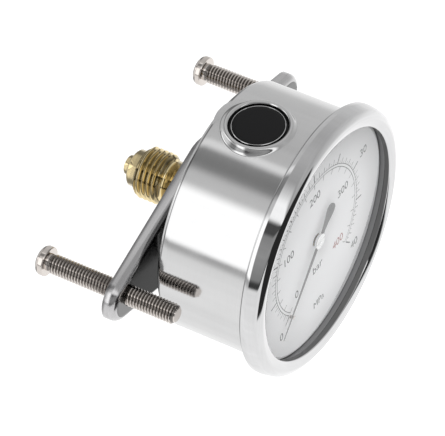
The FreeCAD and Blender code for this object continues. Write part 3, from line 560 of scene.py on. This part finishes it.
# %% Bezel
FRONT, HEM_BACK, OPEN_R = BEZEL_LOW.y, BEZEL_HIGH.y, BEZEL_R - 4.7
crown = eased([
    (OPEN_R, FRONT + 1.45), (OPEN_R, FRONT + 0.78), (OPEN_R + 0.1, FRONT + 0.55),
    (OPEN_R + 0.4, FRONT + 0.38), (BEZEL_R - 3.4, FRONT + 0.14), (BEZEL_R - 2.6, FRONT),
    (BEZEL_R - 2.2, FRONT + 0.06), (BEZEL_R - 1.75, FRONT + 0.25), (BEZEL_R - 1.2, FRONT + 0.6),
    (BEZEL_R - 0.75, FRONT + 0.98), (BEZEL_R - 0.5, FRONT + 1.35), (BEZEL_R - 0.36, FRONT + 1.9),
    (BEZEL_R - 0.2, FRONT + 2.7), (BEZEL_R - 0.03, FRONT + 3.6), (BEZEL_R, FRONT + 4.0)], 4)
bezel_outline = [(WINDOW_HIGH.x, WINDOW_LOW.y), (OPEN_R, WINDOW_LOW.y)] + crown + softened([
    (BEZEL_R, FRONT + 4.2), (BEZEL_R, HEM_BACK, 0.8), (CASE_R + 0.5, HEM_BACK, 0.15),
    (CASE_R + 0.5, FLANGE_BACK), (FLANGE_R, FLANGE_BACK), (FLANGE_R, CASE_LOW.y),
    (WINDOW_HIGH.x, CASE_LOW.y)])
bezel = lathe(bezel_outline, FINE_SIDES)
for face in bezel.faces:
    spot = face.calc_center_median()
    face.material_index = int(spot.xz.length < OPEN_R + 0.03 and spot.y < FRONT + 1.9)
finished("crimped_bezel", bezel, [BEZEL_STEEL, SEAL_RUBBER], stands_for=("bezel_ring",))

# %% Window
BROKEN_R = 0.15
pane = lathe(softened([
    (0.0, WINDOW_LOW.y), (WINDOW_HIGH.x, WINDOW_LOW.y, BROKEN_R), (WINDOW_HIGH.x, WINDOW_HIGH.y, BROKEN_R),
    (0.0, WINDOW_HIGH.y)]), 128)
for face in pane.faces:
    face.material_index = int(face.normal.y > 0.5)
window = finished("clear_window", pane, [WINDOW_GLASS, WET_FACE], stands_for=("window",))
window.visible_shadow = False
window.visible_diffuse = False

# %% [markdown]
# ## Threads
# A screw thread repeats one rib along a helix, so it is a job for Geometry Nodes. The tree bends a flat
# grid into a tube: its first direction runs once round the axis and its rows step along it. Each column
# is pushed along by one pitch for each full turn, so the rows close into a helix and the two long
# edges meet. The radius follows the distance to the crest, and falls away at both ends like a
# real chamfer. The same tree makes the pipe thread and both long screws. Two helpers begin and
# end a tree, because the dial's strokes need the same.

# %% Beginning and ending a tree
def begun_tree(name, kinds):
    """A tree with named inputs: the tree, its inputs' identifiers, and its inputs as Wires."""
    tree = bpy.data.node_groups.new(name, "GeometryNodeTree")
    inputs = {}
    for label, kind in kinds.items():
        socket = tree.interface.new_socket(label, in_out="INPUT", socket_type="NodeSocket" + kind)
        inputs[label] = socket.identifier
    tree.interface.new_socket("Mesh", in_out="OUTPUT", socket_type="NodeSocketGeometry")
    given = tree.nodes.new("NodeGroupInput")
    return tree, inputs, {label: Wire(tree, given.outputs[label]) for label in inputs}


def end_tree(tree, mesh, material):
    """Make real meshes of the tree's instances, give them their material and hand them out."""
    whole = place(tree, "GeometryNodeRealizeInstances", None, [mesh])
    dressed = place(tree, "GeometryNodeSetMaterial", None, {"Geometry": whole, "Material": material})
    tree.links.new(dressed.socket, tree.nodes.new("NodeGroupOutput").inputs[0])


# %% The thread tree
ROWS_PER_TURN, ROOT_FROM, ROW_NUDGE, WELD = 8, 0.86, 0.0005, 0.000002


def thread_tree():
    """Geometry Nodes that make one thread about an axis along Y, and its inputs by name."""
    tree, inputs, value = begun_tree("thread", {
        "Crest Radius": "Float", "Root Radius": "Float", "Pitch": "Float", "Length": "Float",
        "Chamfer": "Float", "Crest Width": "Float", "Start": "Vector", "First Angle": "Float",
        "Sides": "Int", "Metal": "Material"})
    crest, root, pitch, length = (
        value[label] for label in ("Crest Radius", "Root Radius", "Pitch", "Length"))
    turns = (length / pitch).maths("CEIL") + 1.0
    rows = turns * ROWS_PER_TURN + 1.0
    grid = place(tree, "GeometryNodeMeshGrid", None,
                 {"Size X": 1.0, "Size Y": 1.0, "Vertices X": value["Sides"] + 1.0, "Vertices Y": rows})
    flat = place(tree, "GeometryNodeInputPosition")
    u, v = (part + 0.5 for part in split(flat)[:2])
    row = v * (rows - 1.0) / ROWS_PER_TURN
    along = (row + u - 1.0) * pitch
    to_crest = abs((row + ROW_NUDGE).maths("FRACT") - 0.5) * 2.0
    flank = (to_crest - value["Crest Width"]) / (ROOT_FROM - value["Crest Width"])
    rib = (1.0 - flank).least(1.0).most(0.0)
    chamfered = along.least(length - along) + (crest - value["Chamfer"])
    inside = (along > 0.0) * (along < length)
    radius = (root + (crest - root) * rib).least(chamfered) * inside
    angle = u * math.tau + value["First Angle"]
    kept_along = along.most(0.0).least(length)
    spot = place(tree, "ShaderNodeCombineXYZ", None,
                 [radius * angle.maths("SINE"), kept_along, radius * angle.maths("COSINE")])
    moved = place(tree, "ShaderNodeVectorMath", {"operation": "ADD"}, [spot, value["Start"]])
    wound = place(tree, "GeometryNodeSetPosition", None, {"Geometry": grid, "Position": moved})
    closed = place(tree, "GeometryNodeMergeByDistance", None, {"Geometry": wound, "Distance": WELD})
    end_tree(tree, closed, value["Metal"])
    return tree, inputs


THREADS, THREAD_INPUTS = thread_tree()


def made_by(tree, identifiers, name, **values):
    """Run a tree on an empty mesh and keep its result as a plain mesh."""
    carrier = bpy.data.objects.new(name, bpy.data.meshes.new(name))
    bpy.context.scene.collection.objects.link(carrier)
    modifier = carrier.modifiers.new("maker", "NODES")
    modifier.node_group = tree
    for label, value in values.items():
        modifier[identifiers[label.replace("_", " ")]] = value
    bpy.context.view_layer.update()
    ready = carrier.evaluated_get(bpy.context.evaluated_depsgraph_get())
    mesh = bpy.data.meshes.new_from_object(ready)
    carrier.modifiers.remove(modifier)
    bpy.data.objects.remove(carrier)
    mesh.materials.clear()
    return mesh


def thread(name, crest, root, pitch, start, length, chamfer, sides, first_angle=0.0, crest_width=0.15):
    """One thread, with every size in millimetres."""
    return made_by(THREADS, THREAD_INPUTS, name, Crest_Radius=crest * MM, Root_Radius=root * MM,
                   Pitch=pitch * MM, Length=length * MM, Chamfer=chamfer * MM,
                   Crest_Width=crest_width, Start=[part * MM for part in start],
                   First_Angle=first_angle, Sides=sides, Metal=SCREW_STEEL)


def gathered(work, *meshes):
    """Add finished meshes, in metres, to a mesh in millimetres."""
    for mesh in meshes:
        mesh.transform(Matrix.Scale(1 / MM, 4))
        work.from_mesh(mesh)
        bpy.data.meshes.remove(mesh)
    return work


# %% [markdown]
# ## The two long screws
# Each clamp screw is a rolled M5 screw with a pan head and a cross recess. Its core is a lathe piece with
# a chamfered tip, and the thread tree lays its ribs round the core from the tip to just under the head.
# The cross is cut by a Boolean, as the punch cuts it.

# %% Long screws
SCREW_R, ROOT_R, SCREW_PITCH, HEAD_R, SHANK = 2.5, 2.02, 0.8, 3.7, 35.0
PUNCH_ABOVE, LONG_TAPER, WIDE_TAPER = 0.4, 0.45, 0.7


def cross_cut(work, x, top, reach, width, depth):
    """Cut a tapered cross recess, seen from +Y, into a mesh in millimetres."""
    blank = bpy.data.meshes.new("blank")
    work.to_mesh(blank)
    work.free()
    body = bpy.data.objects.new("blank", blank)
    tool_mesh = bpy.data.meshes.new("punch")
    punch = bmesh.new()
    mouth = [(-reach, PUNCH_ABOVE, -width), (reach, PUNCH_ABOVE, -width), (reach, PUNCH_ABOVE, width),
             (-reach, PUNCH_ABOVE, width)]
    foot = [(along * LONG_TAPER, -depth, across * WIDE_TAPER) for along, _, across in mouth]
    for turn in (0.0, math.pi / 2):
        ring = [punch.verts.new(Matrix.Rotation(turn, 3, "Y") @ Vector(spot) + Vector((x, top, 0)))
                for spot in mouth + foot]
        for corners in ((0, 1, 2, 3), (7, 6, 5, 4), (0, 4, 5, 1), (1, 5, 6, 2), (2, 6, 7, 3), (3, 7, 4, 0)):
            punch.faces.new([ring[corner] for corner in corners])
    bmesh.ops.recalc_face_normals(punch, faces=punch.faces)
    punch.to_mesh(tool_mesh)
    punch.free()
    tool = bpy.data.objects.new("punch", tool_mesh)
    for thing in (body, tool):
        bpy.context.scene.collection.objects.link(thing)
    cut = body.modifiers.new("cut", "BOOLEAN")
    cut.object, cut.solver, cut.use_self = tool, "EXACT", True
    bpy.context.view_layer.update()
    result = bpy.data.meshes.new_from_object(body.evaluated_get(bpy.context.evaluated_depsgraph_get()))
    for thing in (body, tool):
        bpy.data.objects.remove(thing)
    clean = bmesh.new()
    clean.from_mesh(result)
    bpy.data.meshes.remove(result)
    return clean


for side in ("left", "right"):
    node = "clamp_screw_" + side
    low, high = box_mm(node)
    x, tip, end = (low.x + high.x) / 2, low.y, high.y
    under = tip + SHANK
    core = lathe(softened([
        (0.0, tip), (SCREW_R - 0.8, tip), (ROOT_R, tip + 0.32), (ROOT_R, under - 1.0), (2.2, under),
        (HEAD_R, under, 0.25), (HEAD_R, under + 1.3, 0.3), (HEAD_R - 0.3, end - 0.75, 0.5),
        (HEAD_R - 0.9, end - 0.3, 0.6), (HEAD_R - 1.9, end), (0.0, end)]), 64, centre=(x, 0.0, 0.0))
    screw = cross_cut(core, x, end, reach=1.9, width=0.5, depth=1.4)
    ribs = thread(node + "_thread", SCREW_R, ROOT_R, SCREW_PITCH, start=(x, tip + 0.04, 0.0),
                  length=SHANK - 0.6, chamfer=0.8, sides=40)
    finished("long_screw_" + side, gathered(screw, ribs), LONG_SCREW_STEEL,
             body=node, stands_for=(node,), crease=38.0)

# %% [markdown]
# ## Copies of solids
# Where a solid already has the right shape, its triangles are copied, merged into one skin and joined
# into flat faces. Then a small bevel can break its edges. A sharp edge that catches no light
# is the surest sign of a computer model.

# %% Copying a solid
def copied(node):
    """A node's mesh as one skin with flat faces, in millimetres."""
    work = bmesh.new()
    work.from_mesh(nodes[node].data)
    bmesh.ops.scale(work, vec=(1 / MM,) * 3, verts=work.verts)
    bmesh.ops.remove_doubles(work, verts=work.verts, dist=0.0005)
    return work


def broken_edges(work, width, segments=2, angle=35.0):
    """Bevel the edges that are sharper than an angle."""
    bmesh.ops.dissolve_limit(work, angle_limit=math.radians(1.0), verts=work.verts, edges=work.edges)
    sharp = [edge for edge in work.edges if edge.is_manifold and edge.calc_face_angle() > math.radians(angle)]
    bmesh.ops.bevel(work, geom=sharp, offset=width, segments=segments, profile=0.5, affect="EDGES",
                    clamp_overlap=True)
    return work


# %% [markdown]
# ## The pipe connection
# The socket is one brass forging that runs from the movement to the pipe. A copy of its solid takes
# its place. There the plain cylinder of the thread is turned down to just under the thread's root, and
# the thread tree winds the real ribs round it, with a pitch of 1.337 mm, nineteen to the inch.

# %% The pipe thread
THREAD_R, THREAD_ROOT, PIPE_PITCH, THREAD_LEN, SUNK = 6.5, 5.66, 1.337, 7.1, 0.12
socket = copied("connection_socket")
for vertex in socket.verts:
    reach = math.hypot(vertex.co.x, vertex.co.z)
    if abs(vertex.co.y) < THREAD_LEN / 2 + 0.01 and reach > THREAD_ROOT - 0.1:
        vertex.co.x *= (THREAD_ROOT - SUNK) / reach
        vertex.co.z *= (THREAD_ROOT - SUNK) / reach
pipe_thread = thread("pipe_thread", THREAD_R, THREAD_ROOT, PIPE_PITCH,
                     start=(0.0, -THREAD_LEN / 2 + 0.01, 0.0), length=THREAD_LEN - 0.02,
                     chamfer=1.0, sides=96, first_angle=0.6)
finished("brass_socket", gathered(socket, pipe_thread), PIPE_BRASS,
         stands_for=("connection_socket",))

# %% [markdown]
# ## The clamp plate
# The plate's front edge is rounded all along, and more so round its two ends, where a tool blends it by
# hand. Each corner of the rounded edge knows how far round the curve it lies from its own depth, so a
# larger radius towards the ends only moves it inwards and back by its share. The flat face towards
# the case is darker, a painted shade for the dark gap where it mirrors the case's back, and both flat
# faces are shaded flat, so that they mirror like a flat sheet.

# %% The clamp plate
EDGE_R, END_EDGE_R, BLEND_FROM, BLEND_TO = 0.8, 2.0, 30.0, 36.0
HOLE_EDGE_R, FLAT_FROM = 3.2, 0.97
plate = copied("clamp_plate")
plate.normal_update()
screw_x = sum(corner.x for corner in box_mm("clamp_screw_right")) / 2
moves = []
for vertex in plate.verts:
    spot, depth = vertex.co, vertex.co.y - PLATE_FRONT
    outwards = Vector((vertex.normal.x, 0.0, vertex.normal.z))
    at_hole = math.hypot(abs(spot.x) - screw_x, spot.z) < HOLE_EDGE_R
    if depth > EDGE_R + 0.001 or at_hole or outwards.length < 0.01:
        continue
    share = min(max((abs(spot.x) - BLEND_FROM) / (BLEND_TO - BLEND_FROM), 0.0), 1.0)
    more = (END_EDGE_R - EDGE_R) * share * share * (3.0 - 2.0 * share)
    level = 1.0 - depth / EDGE_R
    across = math.sqrt(max(1.0 - level * level, 0.0))
    backwards = more * (1.0 - level) * Vector((0, 1, 0))
    moves.append((vertex, backwards - more * (1.0 - across) * outwards.normalized()))
for vertex, move in moves:
    vertex.co += move
print("corners of the plate's rounded edge:", len(moves))
plate = broken_edges(plate, 0.12)
plate.normal_update()
# The face towards the case takes the steel that is darkened as painted shade
for face in plate.faces:
    face.material_index = int(face.normal.y < -FLAT_FROM)
bridge = finished("clamp_bridge", plate, [PLATE_STEEL, PLATE_INSIDE_SHADED],
                  stands_for=("clamp_plate",), crease=30.0)
for polygon in bridge.data.polygons:
    polygon.use_smooth = abs(polygon.normal.y) < FLAT_FROM

# %% [markdown]
# ## Printing the dial
# The scale's strokes repeat along an arc, so Geometry Nodes lay them: one row of points, turned into an
# arc, with one small slab on each. Long and short strokes are the same tree with other numbers. The
# figures are text made into thin slabs. All print stands 0.02 mm proud of the lacquer, as ink does
# in an enlarged view, so that it needs no image.

# %% The stroke tree
INK_THICK = 0.00003


def stroke_tree():
    """Geometry Nodes that lay strokes along an arc of the dial, and their inputs by name."""
    tree, inputs, value = begun_tree("scale_strokes", {
        "Count": "Int", "Sweep": "Float", "Inner Radius": "Float", "Outer Radius": "Float",
        "Width": "Float", "Face": "Float", "Ink": "Material"})
    row = place(tree, "GeometryNodeMeshLine", None, {"Count": value["Count"]})
    index = place(tree, "GeometryNodeInputIndex")
    angle = (index / (value["Count"] - 1.0) - 0.5) * value["Sweep"]
    middle = (value["Inner Radius"] + value["Outer Radius"]) / 2.0
    spot = place(tree, "ShaderNodeCombineXYZ", None,
                 [angle.maths("SINE") * middle, value["Face"], angle.maths("COSINE") * middle])
    bent = place(tree, "GeometryNodeSetPosition", None, {"Geometry": row, "Position": spot})
    size = place(tree, "ShaderNodeCombineXYZ", None,
                 [value["Width"], INK_THICK, value["Outer Radius"] - value["Inner Radius"]])
    slab = place(tree, "GeometryNodeMeshCube", None, {"Size": size})
    lean = place(tree, "ShaderNodeCombineXYZ", None, [0.0, angle, 0.0])
    laid = place(tree, "GeometryNodeInstanceOnPoints", None,
                 {"Points": bent, "Instance": slab, "Rotation": lean})
    end_tree(tree, laid, value["Ink"])
    return tree, inputs


STROKES, STROKE_INPUTS = stroke_tree()
SWEEP, PROUD, SUNK_INK = 270.0, 0.02, 0.01


def strokes(count, inner_r, outer_r, width):
    """Strokes over the scale's sweep, as a mesh in metres."""
    return made_by(STROKES, STROKE_INPUTS, "strokes", Count=count, Sweep=math.radians(SWEEP),
                   Inner_Radius=inner_r * MM, Outer_Radius=outer_r * MM, Width=width * MM,
                   Face=(DIAL_FACE - 0.005) * MM, Ink=INK_BLACK)


def arc_band(inner_r, outer_r, steps=120):
    """A thin printed arc, in millimetres."""
    section = ((inner_r, -PROUD), (outer_r, -PROUD), (outer_r, SUNK_INK), (inner_r, SUNK_INK))
    work = bmesh.new()
    rings = []
    for step in range(steps + 1):
        angle = math.radians(SWEEP * (step / steps - 0.5))
        rings.append([work.verts.new((radius * math.sin(angle), DIAL_FACE + depth, radius * math.cos(angle)))
                      for radius, depth in section])
    for first, second in zip(rings, rings[1:]):
        for side in range(4):
            work.faces.new((first[side], first[side - 1], second[side - 1], second[side]))
    work.faces.new(rings[0])
    work.faces.new(list(reversed(rings[-1])))
    bmesh.ops.recalc_face_normals(work, faces=work.faces)
    return work


# Every stroke row is its number of strokes, where they begin and end, and their width
ARCS = ((18.0, 18.15), (18.75, 18.9))
STROKE_ROWS = ((41, 18.9, 20.3, 0.16), (9, 18.9, 21.4, 0.3), (81, 18.9, 19.6, 0.1), (21, 16.7, 18.0, 0.16))
print_work = bmesh.new()
for inner_r, outer_r in ARCS:
    band = bpy.data.meshes.new("band")
    arc = arc_band(inner_r, outer_r)
    arc.to_mesh(band)
    arc.free()
    print_work.from_mesh(band)
    bpy.data.meshes.remove(band)
gathered(print_work, *[strokes(*row) for row in STROKE_ROWS])
finished("scale_marks", print_work, INK_BLACK)

# %% Figures
def figure(text, size, x, z):
    """One word of the dial, as a mesh in millimetres, upright to the dial's reader."""
    curve = bpy.data.curves.new("figure", "FONT")
    curve.body, curve.size, curve.extrude, curve.resolution_u = text, size, 0.012, 3
    curve.align_x, curve.align_y = "CENTER", "CENTER"
    carrier = bpy.data.objects.new("figure", curve)
    bpy.context.scene.collection.objects.link(carrier)
    bpy.context.view_layer.update()
    mesh = bpy.data.meshes.new_from_object(carrier.evaluated_get(bpy.context.evaluated_depsgraph_get()))
    bpy.data.objects.remove(carrier)
    upright = Matrix.Rotation(math.radians(90.0), 4, "X")
    mesh.transform(Matrix.Translation((x, DIAL_FACE - 0.01, z)) @ upright)
    return mesh


def figures(name, words, material):
    """Several words as one piece."""
    work = bmesh.new()
    for word in words:
        mesh = figure(*word)
        work.from_mesh(mesh)
        bpy.data.meshes.remove(mesh)
    bmesh.ops.remove_doubles(work, verts=work.verts, dist=0.0001)
    finished(name, work, material)


def round_the_dial(labels, radius, size):
    """Labels spread evenly over the scale's sweep."""
    angles = [math.radians(SWEEP * (index / (len(labels) - 1) - 0.5)) for index in range(len(labels))]
    return [(label, size, radius * math.sin(angle), radius * math.cos(angle))
            for label, angle in zip(labels, angles)]


BAR_R, MPA_R, FIGURE_SIZE = 13.6, 24.2, 3.3
UNITS = [("bar", 3.4, 0.0, -9.2), ("MPa", 2.9, 0.0, -21.0)]
bar_labels = round_the_dial(["0", "100", "200", "300", "400"], BAR_R, FIGURE_SIZE)
mpa_labels = round_the_dial(["0", "10", "20", "30", "40"], MPA_R, FIGURE_SIZE)
figures("scale_figures", bar_labels[:-1] + mpa_labels + UNITS, INK_BLACK)
figures("end_figure", bar_labels[-1:], INK_RED)

# %% [markdown]
# ## The pointer
# The pointer is a thin stamped blade: a slim needle on one side of the hub and a broad paddle that
# balances it on the other. Its solid says where the needle points and how far it reaches.

# %% Pointer
low, high = box_mm("pointer")
needle = max((Vector((corner.co.x, corner.co.z)) / MM for corner in nodes["pointer"].data.vertices),
             key=lambda spot: spot.length)
ahead = needle.normalized()
aside = Vector((ahead.y, -ahead.x))
# From the tip to the tail: how far along the blade, and half its width there
BLADE = [(needle.length, 0.0), (needle.length - 0.5, 0.17), (2.5, 0.75), (-2.4, 0.85), (-4.6, 1.2),
         (-6.6, 1.85), (-7.8, 2.1), (-8.8, 1.85), (-9.35, 1.1), (-9.5, 0.0)]
blade_outline = BLADE + [(along, -half) for along, half in reversed(BLADE[1:-1])]
blade = bmesh.new()
faces = []
for level in (low.y, high.y):
    flat = [along * ahead + half * aside for along, half in blade_outline]
    faces.append([blade.verts.new((spot.x, level, spot.y)) for spot in flat])
blade.faces.new(faces[0])
blade.faces.new(faces[1])
for index in range(len(blade_outline)):
    blade.faces.new((faces[0][index], faces[0][index - 1], faces[1][index - 1], faces[1][index]))
bmesh.ops.recalc_face_normals(blade, faces=blade.faces)
finished("dial_pointer", blade, POINTER_BLACK, "pointer_shaft", ("pointer",))

# %% [markdown]
# ## Finishes of the solids that stay
# The pieces of the movement, the tube, the hub and the small pins already have the right shape, so
# they keep their solids. Only their plain colour gives way to a worked metal or a coat.

# %% Finishes by name
FINISHES = {
    SHEET_BRASS: ("sector_gear link hairspring_collet hairspring_stud movement_front_plate "
                  "movement_back_plate pillar_upper_left pillar_upper_right pillar_lower_left "
                  "pillar_lower_right dial_post_left dial_post_right"),
    DRAWN_BRONZE: "bourdon_tube tube_end_piece hairspring",
    TURNED_BRASS: "restrictor_screw",
    SCREW_STEEL: ("plate_screw_left plate_screw_right movement_screw_upper movement_screw_lower sector_arbor "
                  "pinion_arbor tail_pin tip_pin zero_stop_pin"),
    DIAL_WHITE: "dial_plate",
    HUB_STEEL: "pointer_hub",
    SEAL_RUBBER: "window_gasket socket_seal",
}
kept = 0
for finish, names in FINISHES.items():
    for name in names.split():
        piece = nodes[name]
        for material_slot in piece.material_slots:
            material_slot.material = finish
        kept += 1
print("solids that keep their shape:", kept)

# %% [markdown]
# ## The studio
# Bare metal shows its surroundings, so the studio is designed before the lamps. The world is plain and
# pale for the camera and for matt surfaces. For mirrored rays it holds two rings of screens round
# the gauge's own axis. The straight wall of the case mirrors the ring behind the gauge, with its wide
# white screen on the left. The bezel leans forward, so it mirrors the ring in front, which has a
# dark stretch where the camera stands. A black card before the dial draws the thin black line
# along the bezel's crown. All of it depends on direction alone.

# %% The surroundings
world = bpy.data.worlds.new("studio")
bpy.context.scene.world = world
world.use_nodes = True
sky = world.node_tree
background = next(node for node in sky.nodes if node.type == "BACKGROUND")
direction = place(sky, "ShaderNodeTexCoord")
to_right, to_back, to_top = split(direction)
turn = place(sky, "ShaderNodeMath", {"operation": "ARCTAN2"}, [to_right * -1.0, to_top]) / math.tau + 0.5
BEHIND = [(-180, 1.08), (-112, 1.0), (-98, 0.74), (-60, 0.74), (-30, 0.66), (-11, 0.74), (-8, 1.1),
          (-4, 1.1), (1, 0.34), (12, 0.27), (17, 0.34), (23, 0.74), (33, 0.80), (41, 1.7), (86, 1.7),
          (90, 0.52), (94, 0.66), (98, 1.08), (130, 1.16), (180, 1.08)]
BEFORE = [(-180, 1.2), (-118, 1.25), (-95, 0.80), (-60, 0.62), (-40, 0.55), (-20, 0.62), (4, 0.48),
          (14, 0.85), (24, 1.45), (36, 1.4), (40, 0.09), (48, 0.10), (51, 0.34), (66, 0.42), (86, 0.30),
          (89, 0.06), (93, 0.06), (95, 1.05), (130, 1.15), (180, 1.2)]
# Where each soft edge of the black card begins and ends, as a direction's number
CARD_BACK, CARD_LEFT, CARD_RIGHT = (-0.74, -0.66), (-0.42, -0.36), (0.40, 0.46)
CARD_BOTTOM, CARD_TOP, CARD_LEVEL = (-0.62, -0.57), (0.10, 0.16), 0.03


def screens(stops):
    """A ring of screens: each stop is an angle from +Z towards -X, and a level."""
    ramp = place(sky, "ShaderNodeValToRGB",
                 {"stops": [((angle + 180) / 360, (level / 2,) * 3) for angle, level in stops]}, [turn])
    return place(sky, "ShaderNodeVectorMath", {"operation": "SCALE"}, {0: ramp, "Scale": 2.0})


# The ring behind dims to a third on its way back, and is bright again straight behind the gauge
far_back = to_back.steps(0.48, 0.62, 1.0, 0.32) + to_back.steps(0.74, 0.88, 0.0, 0.6)
behind = place(sky, "ShaderNodeVectorMath", {"operation": "SCALE"}, {0: screens(BEHIND), "Scale": far_back})
ring = mixed(to_back.steps(0.12, 0.28), screens(BEFORE), behind)
# Uneven light, as from creased paper screens
creases = 0.9 + 0.2 * noise(direction, 11.0, 4.0, (1.0, 0.12, 1.0))
ring = place(sky, "ShaderNodeVectorMath", {"operation": "SCALE"}, {0: ring, "Scale": creases})
card = (to_back.steps(*CARD_BACK, 1.0, 0.0) * to_right.steps(*CARD_LEFT)
        * to_right.steps(*CARD_RIGHT, 1.0, 0.0) * to_top.steps(*CARD_BOTTOM)
        * to_top.steps(*CARD_TOP, 1.0, 0.0))
ring = mixed(card, ring, grey(CARD_LEVEL))
path = place(sky, "ShaderNodeLightPath").socket.node
seen, mirrored, through = (Wire(sky, path.outputs[name])
                           for name in ("Is Camera Ray", "Is Glossy Ray", "Is Transmission Ray"))
AMBIENT = 0.55
colour = mixed(mirrored.most(through), grey(AMBIENT), ring)
colour = mixed(seen, colour, grey(1.0))
sky.links.new(colour.socket, background.inputs["Color"])
print("screens round the object:", len(BEHIND) + len(BEFORE))

# %% Lamps
LAMPS_AIM = (0, -25, 0)


def soft_lamp(name, place_mm, size, power):
    """A square soft lamp that lights matt surfaces and isn't mirrored."""
    data = bpy.data.lights.new(name, "AREA")
    data.size, data.energy = size, power
    lamp = bpy.data.objects.new(name, data)
    lamp.location = Vector(place_mm) * MM
    lamp.rotation_euler = (Vector(LAMPS_AIM) - Vector(place_mm)).to_track_quat("-Z", "Y").to_euler()
    lamp.visible_glossy = False
    bpy.context.scene.collection.objects.link(lamp)


soft_lamp("key_lamp", (-500, -500, 900), size=0.6, power=7.0)
soft_lamp("fill_lamp", (600, -500, 500), size=0.8, power=2.0)

# %% Floor
floor_mesh = bpy.data.meshes.new("floor")
FLOOR_REACH, FLOOR_LEVEL, FLOOR_GLOW = 3.0, -0.16, 0.45
floor_mesh.from_pydata([(FLOOR_REACH * x, FLOOR_REACH * y, FLOOR_LEVEL)
                        for x, y in ((-1, -1), (1, -1), (1, 1), (-1, 1))], [], [(0, 1, 2, 3)])
floor = bpy.data.objects.new("floor", floor_mesh)
bpy.context.scene.collection.objects.link(floor)
FLOOR_PAPER, floor_tree, floor_shader = new_material("floor_paper", Roughness=0.9, Base_Color=grey(0.8))
glow = place(floor_tree, "ShaderNodeLightPath").socket.node
camera_ray, glossy_ray, clear_ray = (Wire(floor_tree, glow.outputs[name])
                                     for name in ("Is Camera Ray", "Is Glossy Ray", "Is Transmission Ray"))
shine = mixed(camera_ray.most(glossy_ray).most(clear_ray), grey(0.0), grey(FLOOR_GLOW))
link_to(floor_shader, "Emission Color", shine)
floor_shader.inputs["Emission Strength"].default_value = 1.0
floor_mesh.materials.append(FLOOR_PAPER)
floor.visible_glossy = False
bpy.context.scene.view_settings.view_transform = "Standard"
